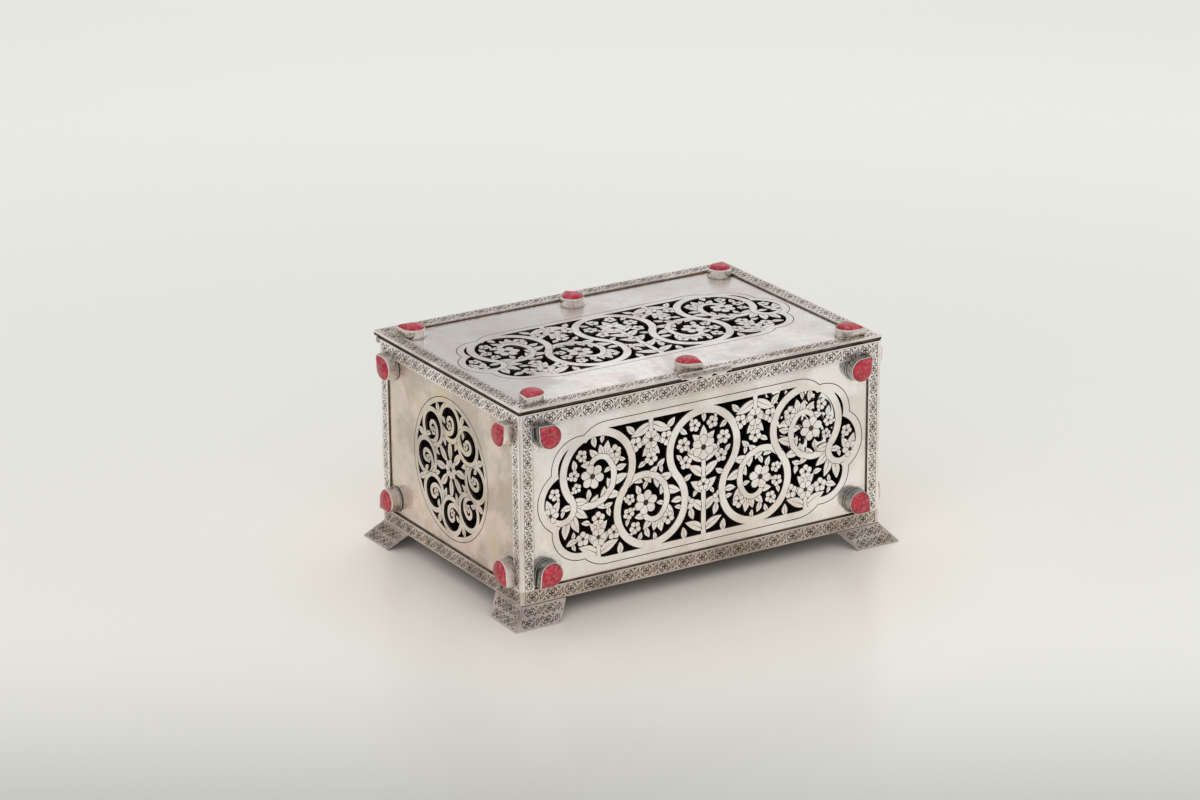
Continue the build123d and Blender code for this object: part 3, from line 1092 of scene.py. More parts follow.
@dataclass
class Undergrowth:
    """Flowers and leaves on fine stems that fill the gaps between the main strokes.

    The middle of the widest gap gets the next flower or leaf, until every gap is narrow. The right
    half is filled, and mirrored to the left.
    """

    graver: Graver
    narrow: float
    grid: float = 0.7
    reach: float = 8.0
    bloom: float = 3.7
    bloom_gap: float = 1.0
    least_bloom: float = 2.5
    full_bloom: float = 3.2
    near_middle: float = 0.45
    stem: float = 1.4
    stem_bow: float = 0.16
    root: float = 0.5
    leaf_gap: float = 0.7
    leaf_share: float = 0.52
    leaf_width: float = 3.2

    def grow(self, opening: list[Loop], motifs: list[Motif]) -> list[Motif]:
        """Fills an opening.

        Args:
            opening: the overlapping shapes that make up the opening.
            motifs: what is in it already.

        Returns:
            The new shapes, stems first.
        """
        corners = np.array([p for loop in opening for p in loop])
        low, high = corners.min(axis=0), corners.max(axis=0)
        across = np.arange(0.0, high[0], self.grid)
        upward = np.arange(low[1] + self.grid / 2, high[1], self.grid)
        points = np.array(np.meshgrid(across, upward)).reshape(2, -1).T
        points = points[np.any([inside(points, loop) for loop in opening], axis=0)]
        gap = np.full(len(points), self.reach)
        nearest = np.zeros_like(points)

        def mark(loop: Sequence[Point], solid: bool, others: Sequence[Loop] = ()) -> None:
            """Notes a loop's edge, and its inside if solid, but not the part in other loops.

            Args:
                loop: the closed loop.
                solid: whether metal fills it.
                others: loops that hide parts of the edge.
            """
            edge = samples(loop)
            for other in others:
                edge = edge[~inside(edge, other)]
            if not len(edge):
                return
            least, most = edge.min(axis=0) - self.reach, edge.max(axis=0) + self.reach
            close = np.flatnonzero(np.all((points > least) & (points < most), axis=1))
            if not len(close):
                return
            away = np.hypot(*(points[close, None, :] - edge[None, :, :]).transpose(2, 0, 1))
            best = away.argmin(axis=1)
            span = away[np.arange(len(close)), best]
            better = span < gap[close]
            gap[close[better]] = span[better]
            nearest[close[better]] = edge[best[better]]
            if solid:
                gap[close[inside(points[close], loop)]] = 0.0

        for i, loop in enumerate(opening):
            mark(loop, False, opening[:i] + opening[i + 1:])
        for motif in motifs:
            mark(motif.body, True)
        stems: list[Motif] = []
        heads: list[Motif] = []
        while gap.max() > self.narrow:
            best = int(gap.argmax())
            spot, root, width = points[best].copy(), nearest[best].copy(), float(gap[best])
            if spot[0] < self.near_middle * width:
                spot[0] = 0.0
            stem, head = self.plant(spot, root, width)
            for side in (1, -1) if spot[0] > 0 else (1,):
                for group, motif in ((stems, stem), (heads, head)):
                    if motif:
                        group.append(motif.moved(Spot(), (side, 1)))
                        mark(group[-1].body, True)
            gap[best] = 0.0
        return stems + heads

    def plant(self, spot: np.ndarray, root: np.ndarray, width: float) -> tuple[Motif | None, Motif]:
        """One flower on a stem, or one leaf, that fits a gap.

        Args:
            spot: the middle of the gap.
            root: the nearest point of the metal round it.
            width: how far the metal is from the middle.

        Returns:
            The stem, or nothing for a leaf, and the flower or leaf.
        """
        dx, dy = spot - root
        away = math.hypot(dx, dy) or 1.0
        angle = math.degrees(math.atan2(dy, dx))
        foot = (root[0] - dx / away * self.root, root[1] - dy / away * self.root)
        if width - self.bloom_gap >= self.least_bloom:
            radius = min(self.bloom, width - self.bloom_gap)
            bow = self.stem_bow * away
            middle = ((foot[0] + spot[0]) / 2 - dy / away * bow, (foot[1] + spot[1]) / 2 + dx / away * bow)
            stem = self.graver.band([foot, middle, tuple(spot)], self.stem, self.stem)
            petals = 6 if radius > self.full_bloom else 5
            return stem, self.graver.flower(radius, petals, angle).moved(Spot(*spot))
        length = 2 * width + self.root - self.leaf_gap
        leaf = self.graver.leaf(length, min(self.leaf_share * length, self.leaf_width), 0.3)
        return None, leaf.moved(Spot(*foot, angle))


@dataclass
class Cartouche:
    """The long lobed opening and the vine work in it."""

    half_length: float
    half_height: float
    narrow: float = 2.0
    graver: Graver = Graver()
    end_lobe: float = 12.95
    shoulder_lobe: float = 11.9
    shoulder_setback: float = 19.4
    shoulder_rise: float = 15.0
    corner_lobe: float = 13.7
    corner_setback: float = 33.4
    line_offset: float = 3.3
    line_width: float = 0.42
    bows: int = 5
    crest_width: float = 3.8
    ribbon_width: float = 3.7
    ribbon_bite: float = 0.7
    scroll_radius: float = 13.0
    scroll_inner: float = 5.6
    hook_radius: float = 6.4
    hook_turn: float = 205.0
    sprig_height: float = 18.0

    def __post_init__(self) -> None:
        """Works out the bows' curve from the opening's size."""
        self.pitch = 2 * self.half_length / (self.bows + 1)
        crest = self.half_height - self.crest_width / 2 + self.ribbon_bite
        self.bend = (self.pitch ** 2 + 4 * crest ** 2) / (8 * crest)
        self.rise = crest - self.bend
        self.dip = math.degrees(math.atan2(self.rise, self.pitch / 2))

    def lobes(self, offset: float) -> list[Loop]:
        """The opening as overlapping simple shapes, grown by an offset.

        Args:
            offset: how far each shape is grown.

        Returns:
            The shapes.
        """
        height = self.half_height + offset
        corner = self.half_length - self.corner_setback
        shoulder = self.half_length - self.shoulder_setback
        end = self.half_length - self.end_lobe
        low = self.half_height - self.corner_lobe
        wide = corner + self.corner_lobe + offset
        shapes = [[(-x, -y), (x, -y), (x, y), (-x, y)] for x, y in ((corner, height), (wide, low))]
        for side in (1, -1):
            for up in (1, -1):
                shapes.append(circle((side * corner, up * low), self.corner_lobe + offset, 5))
                shoulder_at = (side * shoulder, up * self.shoulder_rise)
                shapes.append(circle(shoulder_at, self.shoulder_lobe + offset, 5))
            shapes.append(circle((side * end, 0), self.end_lobe + offset, 5))
        return shapes

    def scroll(self) -> list[Motif]:
        """The scroll of a bow about the bow's centre, with its leaves and flowers.

        Returns:
            The sawn shapes.
        """
        g, dip = self.graver, self.dip
        first = polar((0, 0), self.bend - self.scroll_radius, -dip)
        second = polar(first, self.scroll_radius - self.scroll_inner, 180 - dip)
        path = arc(first, self.scroll_radius, -dip, -180)
        path += arc(second, self.scroll_inner, 180 - dip, -180)[1:]
        made: list[Motif] = []
        for place, length, width, lean, bend in (
            (22, 6.4, 3.2, -48, 0.5),
            (50, 6.6, 3.4, -48, 0.5),
            (64, 6.0, 3.2, 46, -0.5),
            (80, 6.6, 3.4, -48, 0.5),
            (92, 8.0, 4.0, 46, -0.5),
            (108, 6.2, 3.2, -48, 0.5),
            (120, 9.0, 4.2, 46, -0.5),
            (158, 9.0, 4.2, 46, -0.5),
            (184, 8.4, 4.0, 46, -0.5),
        ):
            angle = -dip - place
            spot = Spot.around(first, self.scroll_radius, angle, angle - 90 + lean)
            made.append(g.leaf(length, width, bend).moved(spot))
        for place, length in ((60, 6.5), (105, 6.0), (30, 6.5)):
            angle = 180 - dip - place
            spot = Spot.around(second, self.scroll_inner, angle, angle - 90 + 50)
            made.append(g.leaf(length, 3.3, -0.4).moved(spot))
        return made + [
            g.band(path, 3.5, 2.4),
            g.flower(3.5, 5, 20).moved(Spot.around(first, self.scroll_radius + 4.4, 180 - dip)),
            g.flower(6.2, 6, 15).moved(Spot.around(second, self.scroll_inner, -dip)),
        ]

    def upright(
        self,
        height: float,
        stem: Point,
        leaves: Sequence[Sequence[float]],
        flowers: Sequence[Sequence[float]],
    ) -> list[Motif]:
        """An upright stem standing on the origin, with leaves and flowers.

        Args:
            height: the stem's height.
            stem: the stem's width at its foot and at its top.
            leaves: each leaf's height, lean to the right, length, width and bend.
            flowers: each flower's radius, petals, turn, distance to the right and height.

        Returns:
            The leaves, the stem and the flowers.
        """
        g = self.graver
        blades = [g.leaf(*size).moved(Spot(0, rise, 90 - lean)) for rise, lean, *size in leaves]
        blooms = [g.flower(*size).moved(Spot(aside, rise)) for *size, aside, rise in flowers]
        return [*blades, g.band([(0, -0.5), (0, height / 2), (0, height)], *stem), *blooms]

    def sprig(self) -> list[Motif]:
        """A short sprig with five flowers.

        Returns:
            The sawn shapes.
        """
        top = self.sprig_height
        pairs = ((2.0, 64, 12.0, 4.6), (6.5, 46, 8.5, 4.0), (top - 6.5, 36, 8.0, 3.8))
        leaves = [(rise, side * lean, *size, side * 0.5) for side in (1, -1) for rise, lean, *size in pairs]
        flowers = [(3.7, 5, 90, side * 8.4, 11.2) for side in (1, -1)]
        flowers += [(4.8, 6, 0, 0, 10.4), (3.6, 5, 90, 0, top + 1.5)]
        return self.upright(top, (2.4, 2.0), leaves, flowers)

    def stalk(self) -> list[Motif]:
        """The tall stalk under the middle bow, up to its flower.

        Returns:
            The sawn shapes.
        """
        top = self.half_height + self.rise
        pairs = ((2, 62, 11.5), (12, 50, 9.5), (21, 48, 9.5), (29, 52, 10.5), (36.5, 60, 10.5))
        leaves: list[tuple[float, ...]] = []
        for rise, lean, length in pairs:
            leaves += [(rise, side * lean, length, 4.3, side * 0.6) for side in (1, -1)]
        flowers: list[tuple[float, ...]] = []
        for side in (1, -1):
            leaves += [(top, side * 40, 9.5, 4.2, side * 0.5), (top, side * 100, 9.0, 4.0)]
            flowers += [(3.5, 5, 90, side * 8.6, 17.0), (3.4, 5, 90, side * 9.8, 37.5)]
        leaves.append((top, 0, 11, 4.6))
        flowers += [(3.6, 5, 90, 0, 25.0), (6.4, 6, 30, 0, top)]
        return self.upright(top, (2.6, 2.2), leaves, flowers)

    def hook(self) -> list[Motif]:
        """The last curl of the ribbon in the right end lobes, about the last bow's centre.

        Returns:
            The sawn shapes.
        """
        g, start = self.graver, 180 - self.dip
        centre = polar((0, 0), self.bend + self.hook_radius, -self.dip)
        made: list[Motif] = []
        leaves = ((8, 9, 4), (40, 9.5, 4.2), (70, 10, 4.2), (100, 9.5, 4.2), (135, 8, 3.6))
        for place, length, width in leaves:
            angle = start + place
            spot = Spot.around(centre, self.hook_radius, angle, angle + 90 - 50)
            made.append(g.leaf(length, width, 0.5).moved(spot))
        tip = polar(centre, self.hook_radius, start + self.hook_turn)
        return made + [
            g.leaf(8.4, 3.8, 0.4).moved(Spot(*tip, 75)),
            g.leaf(8.4, 3.8, 0.4).moved(Spot(*tip, 125)),
            g.band(arc(centre, self.hook_radius, start, self.hook_turn), 3.6, 2.8),
            g.flower(4.4, 6).moved(Spot(*tip)),
        ]

    def motifs(self) -> list[Motif]:
        """All the sawn shapes, from the lowest to the one on top.

        Returns:
            The sawn shapes about the middle of the opening.
        """
        half = self.bows // 2
        under: list[Motif] = []
        over: list[Motif] = []
        for i in range(-half, half + 1):
            up = 1 if i % 2 == 0 else -1
            centre = Spot(i * self.pitch, up * self.rise)
            sides = (-1 if i < 0 else 1, up)
            under += [motif.moved(centre, sides) for motif in (self.scroll() if i else [])]
            base = Spot(centre.x, -up * self.half_height, 0 if up > 0 else 180)
            under += [motif.moved(base) for motif in (self.sprig() if i else self.stalk())]
            if abs(i) == half:
                under += [motif.moved(centre, sides) for motif in self.hook()]
            start = -self.dip if up > 0 else 180 - self.dip
            path = arc((centre.x, centre.y), self.bend, start, 180 + 2 * self.dip, 4)
            over.append(self.graver.band(path, self.ribbon_width, self.ribbon_width))
        grown = Undergrowth(self.graver, self.narrow).grow(self.lobes(0), under + over)
        return grown + under + over

    def sheet(self, width: float, height: float, thickness: float) -> Sheet:
        """The pierced and engraved sheet, with the opening in its middle."""
        line = Ring(self.lobes(self.line_offset + self.line_width), self.lobes(self.line_offset))
        return Sheet(width, height, thickness, opening=self.lobes(0), motifs=self.motifs(), rings=[line])


@dataclass
class Medallion:
    """The round opening of an end panel: a ring of hoops with curls in them round a rosette."""

    radius: float = 32.4
    hoops: int = 8
    hoop_radius: float = 8.8
    hoop_width: float = 2.35
    curl_radius: float = 3.6
    curl_turn: float = 400.0
    curl_tightening: float = 1.7
    curl_fall: float = 150.0
    curl_points: int = 33
    curl_start: float = 110.0
    hoop_start: float = 114.0
    hoop_turn: float = 358.0
    spoke_root: float = 4.5
    inner_root: float = 18.6
    outer_root: float = 32.6
    bite: float = 0.7
    line_offset: float = 2.3
    line_width: float = 0.42
    graver: Graver = Graver()

    def curl(self, centre: Point, start: float) -> list[Motif]:
        """The curl in a hoop, from the hoop's ring to the flower at its end.

        Args:
            centre: the middle of the hoop.
            start: the angle where the curl leaves the ring.

        Returns:
            The sawn shapes.
        """
        g = self.graver
        path: Loop = []
        for i in range(self.curl_points):
            turn = self.curl_turn * i / (self.curl_points - 1)
            fall = max(0.0, 1 - turn / self.curl_fall) ** 1.6
            radius = self.curl_radius + (self.hoop_radius - self.curl_radius) * fall
            radius -= self.curl_tightening * turn / self.curl_turn
            path.append(polar(centre, radius, start + turn))
        leaf_at = Spot.around(centre, self.hoop_radius - 1.0, start - 28, start - 28 + 150)
        return [
            g.band(path, self.hoop_width, self.hoop_width * 0.7),
            g.leaf(4.2, 2.4, 0.3).moved(leaf_at),
            g.flower(2.2, 5, start).moved(Spot(*path[-1])),
        ]

    def motifs(self) -> list[Motif]:
        """All the sawn shapes, from the lowest to the one on top.

        Returns:
            The sawn shapes about the middle of the opening.
        """
        g = self.graver
        reach = self.radius - self.hoop_radius - self.hoop_width / 2 + self.bite
        leaves: list[Motif] = []
        rings: list[Motif] = []
        for i in range(self.hoops):
            angle = 90 + 360 * i / self.hoops
            between = angle + 180 / self.hoops
            for leaf, away, at, turn in (
                (g.leaf(reach - self.hoop_radius - 4.0, 3.8, 0.4), self.spoke_root, angle, angle),
                (g.leaf(7.4, 3.0), self.inner_root, between, between + 180),
                (g.leaf(6.4, 3.2), self.outer_root, between, between + 180),
            ):
                leaves.append(leaf.moved(Spot.around((0, 0), away, at, turn)))
            centre = polar((0, 0), reach, angle)
            hoop = arc(centre, self.hoop_radius, angle + self.hoop_start, self.hoop_turn)
            rings += self.curl(centre, angle + self.curl_start)
            rings.append(g.band(hoop, self.hoop_width, self.hoop_width))
        return leaves + rings + [g.flower(5.2, self.hoops, 90)]

    def sheet(self, width: float, height: float, thickness: float) -> Sheet:
        """The pierced and engraved end panel, with the opening in its middle.

        Args:
            width: the panel's width.
            height: its height.
            thickness: its thickness.

        Returns:
            The sheet.
        """
        grown = self.radius + self.line_offset
        rims = [[circle((0, 0), radius, 4)] for radius in (grown + self.line_width, grown, self.radius)]
        line = Ring(rims[0], rims[1])
        return Sheet(width, height, thickness, opening=rims[2], motifs=self.motifs(), rings=[line])


@dataclass
class Panels:
    """The pierced walls and lid."""

    finishes: Finishes
    end_margin: float = 12.3
    edge_margin: float = 14.9
    lid_narrow: float = 2.5

    def build(self) -> None:
        """Makes the front, the lid and both ends."""
        f = self.finishes
        size = face_of("front_panel", -NORTH)[1]
        vine = Cartouche(size.x / 2 - self.end_margin, size.z / 2 - self.edge_margin)
        lid_vine = replace(vine, narrow=self.lid_narrow)
        for name, node, body, pattern, across, outward, metal in (
            ("pierced_front", "front_panel", "casket", vine, EAST, -NORTH, f.sheet),
            ("pierced_lid", "lid_plate", "lid", lid_vine, EAST, UP, f.lid),
            ("pierced_right_end_panel", "right_end_panel", "casket", Medallion(), NORTH, EAST, f.end),
            ("pierced_left_end_panel", "left_end_panel", "casket", Medallion(), -NORTH, -EAST, f.end),
        ):
            middle, size = face_of(node, outward)
            sizes = (abs(size.dot(way)) for way in (across, outward.cross(across), outward))
            place = plane_at(middle, across, outward)
            made = pattern.sheet(*sizes).solid(name, place, (metal, f.lines))
            settle(made, body, [node])


# Border strips


@dataclass
class BorderStamp:
    """One stamp of the border: a four-petalled flower between small leaves, and a slanted leaf."""

    width: float = 10.2
    height: float = 5.4
    thickness: float = 0.3
    line: float = 0.68
    outline: float = 0.43
    flower_x: float = -1.5
    petal: float = 1.0
    petal_reach: float = 1.2
    leaf: Spot = Spot(3.6, 0, 60)
    drawn_height: float = 5.4

    def stroke(self, path: Sequence[Point], share: float = 1.0) -> Loop:
        """A stamped stroke, thickest in the middle.

        Args:
            path: points along the stroke's middle.
            share: its width as a share of the usual width.

        Returns:
            The closed outline.
        """

        def wide(t: float) -> float:
            """The width at a share of the way."""
            return self.line * share * (0.35 + 0.65 * math.sin(math.pi * min(max(t, 0.08), 0.92)))

        return ribbon(path, wide)

    def marks(self) -> list[Loop]:
        """The stamp's strokes and dots.

        Returns:
            The closed outlines.
        """
        x = self.flower_x
        out = [circle((x, 0), 0.36, 90)]
        for side in (1, -1):
            for rise in (1, -1):
                points = ((1.0, 2.55), (2.2, 1.75), (3.0, 0.25))
                out.append(self.stroke([(x - side * away, rise * up) for away, up in points]))
            slant = self.leaf.move([(-side * 2.4, side * 0.95), (side * 0.2, side * 1.35)])
            tip = self.leaf.x - side * 1.75
            corner = [(tip, side * 2.6), (tip + side * 1.5, side * 2.6), (tip + side * 0.4, side * 1.55)]
            out += [self.stroke(slant, 0.9), corner[::side]]
        return out

    def rings(self) -> list[Ring]:
        """The outlines of the stamp's petals and leaf.

        Returns:
            The flower's outline and the leaf's.
        """

        def petals(radius: float) -> list[Loop]:
            """Four round petals."""
            places = [polar((self.flower_x, 0), self.petal_reach, 45 + 90 * i) for i in range(4)]
            return [circle(place, radius, 60) for place in places]

        def blade(length: float, width: float) -> Loop:
            """A pointed leaf about its middle."""
            top = [(length * (i / 4 - 0.5), width / 2 * math.sin(math.pi * i / 4)) for i in range(5)]
            return self.leaf.move(top + [(x, -y) for x, y in top[1:-1]][::-1])

        flower = Ring(petals(self.petal), petals(self.petal - self.outline))
        return [flower, Ring([blade(5.0, 1.5)], [blade(3.2, 0.7)])]

    def press(self, sheet: Sheet, spot: Spot, stretch: Point) -> None:
        """Adds the stamp's strokes and rings to a sheet, stretched and carried to a place."""
        sheet.marks += [spot.move(mark, stretch) for mark in self.marks()]
        sheet.rings += [ring.moved(spot, stretch) for ring in self.rings()]

    def sheet(self) -> Sheet:
        """The stamp as a small sheet.

        Returns:
            The sheet.
        """
        made = Sheet(self.width, self.height, self.thickness, depth=0.16)
        self.press(made, Spot(), (1.0, self.height / self.drawn_height))
        return made


def border_row_tree(silver: Material, dark: Material) -> NodeTree:
    """Geometry nodes that set one stamp after another along X.

    Args:
        silver: the finish of the stamp's face.
        dark: the finish of its stamped lines.

    Returns:
        The node tree.
    """
    inputs = {"Geometry": "Geometry", "Tile": "Object", "Count": "Int", "Pitch": "Float"}
    inputs |= {"Stretch": "Vector", "Shake": "Float", "Seed": "Int"}
    kit, given = NodeKit.start("GeometryNodeTree", "Row of border stamps", inputs)
    step = kit.out("ShaderNodeCombineXYZ", {"X": given["Pitch"]})
    line = kit.out("GeometryNodeMeshLine", {"Count": given["Count"], "Offset": step}, mode="OFFSET")
    half = kit.times(kit.times(kit.math("SUBTRACT", given["Count"], 1.0), given["Pitch"]), -0.5)
    start = kit.out("ShaderNodeCombineXYZ", {"X": half})
    centred = kit.out("GeometryNodeTransform", {"Geometry": line, "Translation": start})
    tile = kit.node("GeometryNodeObjectInfo", {"Object": given["Tile"]}).outputs["Geometry"]
    most = kit.out("ShaderNodeCombineXYZ", {"X": given["Shake"], "Y": given["Shake"]})
    least = kit.vector("SCALE", {0: most, "Scale": -1.0})
    values = {"Min": least, "Max": most, "Seed": given["Seed"]}
    shake = kit.out("FunctionNodeRandomValue", values, data_type="FLOAT_VECTOR")
    values = {"Points": centred, "Instance": tile, "Rotation": shake, "Scale": given["Stretch"]}
    rows = kit.out("GeometryNodeInstanceOnPoints", values)
    real = kit.out("GeometryNodeRealizeInstances", {"Geometry": rows})
    face = kit.out("GeometryNodeSetMaterial", {"Geometry": real, "Material": silver})
    groove = kit.node("GeometryNodeInputNamedAttribute", {"Name": "groove"}, data_type="BOOLEAN")
    values = {"Geometry": face, "Material": dark, "Selection": groove.outputs["Attribute"]}
    return kit.finish({"Geometry": kit.out("GeometryNodeSetMaterial", values)})


def wire_tree(metal: Material) -> NodeTree:
    """Geometry nodes that lay a round wire along a mesh's edges.

    Args:
        metal: the wire's finish.

    Returns:
        The node tree.
    """
    inputs = {"Geometry": "Geometry", "Wire radius": "Float", "Sides": "Int"}
    kit, given = NodeKit.start("GeometryNodeTree", "Wire along a line", inputs)
    curve = kit.out("GeometryNodeMeshToCurve", {"Mesh": given["Geometry"]})
    values = {"Resolution": given["Sides"], "Radius": given["Wire radius"]}
    profile = kit.out("GeometryNodeCurvePrimitiveCircle", values)
    wire = kit.out("GeometryNodeCurveToMesh", {"Curve": curve, "Profile Curve": profile})
    real = kit.out("GeometryNodeRealizeInstances", {"Geometry": wire})
    smooth = kit.out("GeometryNodeSetShadeSmooth", {"Geometry": real})
    made = kit.out("GeometryNodeSetMaterial", {"Geometry": smooth, "Material": metal})
    return kit.finish({"Geometry": made})


def made_by(tree: NodeTree, mesh: Mesh, values: dict[str, object], place: Matrix) -> Object:
    """What geometry nodes make of a mesh, carried to its place.

    Args:
        tree: the geometry nodes.
        mesh: what they start from.
        values: the nodes' inputs by name.
        place: carries the result, in millimetres, to its place in metres.

    Returns:
        The result as a plain mesh.
    """
    made = link(mesh.name, mesh)
    nodes = made.modifiers.new(tree.name, "NODES")
    nodes.node_group = tree
    for item in tree.interface.items_tree:
        if item.item_type == "SOCKET" and item.in_out == "INPUT" and item.name in values:
            nodes[item.identifier] = values[item.name]
    baked(made)
    made.data.transform(place)
    return made


def wire_along(path: Sequence[Sequence[float]], radius: float, place: Matrix, tree: NodeTree) -> Object:
    """A closed round wire.

    Args:
        path: points along the wire's middle, in millimetres.
        radius: the wire's radius, in millimetres.
        place: carries it to its place.
        tree: the geometry nodes that lay the wire.

    Returns:
        The wire as a plain mesh.
    """
    line = bpy.data.meshes.new("wire")
    count = len(path)
    line.from_pydata(path, [(k, (k + 1) % count) for k in range(count)], [])
    return made_by(tree, line, {"Wire radius": radius, "Sides": WIRE_SIDES}, place)


@dataclass
class Borders:
    """The strips round every face, with their stamped pattern."""

    finishes: Finishes
    rim: float = 0.7
    corner_rim: float = 2.0
    sink: float = 0.04
    rounding: float = 0.12
    slim: float = 4.2
    shake: float = 0.004
    plain: str = "back_top_strip"

    def row(self, node: str, tile: Object, tree: NodeTree, seed: int) -> Object:
        """One row of stamps that fills a strip's channel.

        Args:
            node: the strip's CAD node.
            tile: the stamp that is repeated.
            tree: the geometry nodes.
            seed: for the small shake of each stamp.

        Returns:
            The row as a plain mesh.
        """
        length, place = self.channel(node)
        width = tile.dimensions.x
        count = max(1, round(length / width))
        pitch = length / count
        values = {"Tile": tile, "Count": count, "Pitch": pitch, "Shake": self.shake, "Seed": seed}
        values["Stretch"] = (pitch / width, 1.0, 1.0)
        return made_by(tree, bpy.data.meshes.new(f"row_{node}"), values, place)

    def channel(self, node: str) -> tuple[float, Matrix]:
        """The channel of one strip.

        Args:
            node: the strip's CAD node.

        Returns:
            Its length in millimetres, and the matrix that carries a row to it.
        """
        ways = {"front": -NORTH, "back": NORTH, "left": -EAST, "right": EAST, "lid": UP}
        outward = ways[node.split("_")[0]]
        point, size = face_of(node, outward)
        point -= outward * self.sink * MM
        if outward is UP and size.y > size.x:
            return size.y, plane_at(point, NORTH, outward)
        along = EAST if outward is UP else UP.cross(outward)
        if node.endswith("_upright"):
            inwards = -1 if point.dot(along) > 0 else 1
            shift = along * inwards * (self.corner_rim - self.rim) / 2 * MM
            return size.z, plane_at(point + shift, UP, outward)
        return max(size.x, size.y) - 2 * self.corner_rim, plane_at(point, along, outward)

    def build(self) -> None:
        """Makes the strips with rounded edges and fills their channels."""
        f = self.finishes
        unit = Matrix.Identity(4)
        tile = BorderStamp().sheet().solid("wide_stamp", unit, (f.stamped, f.lines))
        slim = BorderStamp(height=self.slim).sheet().solid("slim_stamp", unit, (f.stamped, f.lines))
        every = [n for n in sorted(bpy.data.objects.keys()) if n.endswith(("_strip", "_upright"))]
        lid = [n for n in every if n.startswith("lid_")]
        bottom = [n for n in every if n.endswith("_bottom_strip")]
        wall = [n for n in every if n not in lid + bottom]
        for group, body, strips, metal, pressed in (
            ("wall", "casket", wall, f.stamped, f.pressed),
            ("bottom", "casket", bottom, f.low_stamped, f.low_pressed),
            ("lid", "lid", lid, f.lid_stamped, f.lid_pressed),
        ):
            bare = softened(f"{group}_border_strips", strips, metal, self.rounding)
            settle(bare, body, strips)
            tree = border_row_tree(pressed, f.lines)
            rows = []
            for seed, node in enumerate(strips):
                if node != self.plain:
                    rows.append(self.row(node, slim if node.endswith("_upright") else tile, tree, seed))
            settle(joined(f"{group}_border_stamps", rows), body, ())
        for stamp in (tile, slim):
            bpy.data.objects.remove(stamp)


# Stones


@dataclass(frozen=True)
class Setting:
    """One stone's place on a sheet, and its collet's finish."""

    plane: Matrix
    spot: Spot
    metal: Material

    def place(self) -> Matrix:
        """Carries a collet, in millimetres, to its place."""
        turn = Matrix.Rotation(math.radians(self.spot.angle), 4, "Z")
        return self.plane @ Matrix.Translation((self.spot.x, self.spot.y, 0)) @ turn


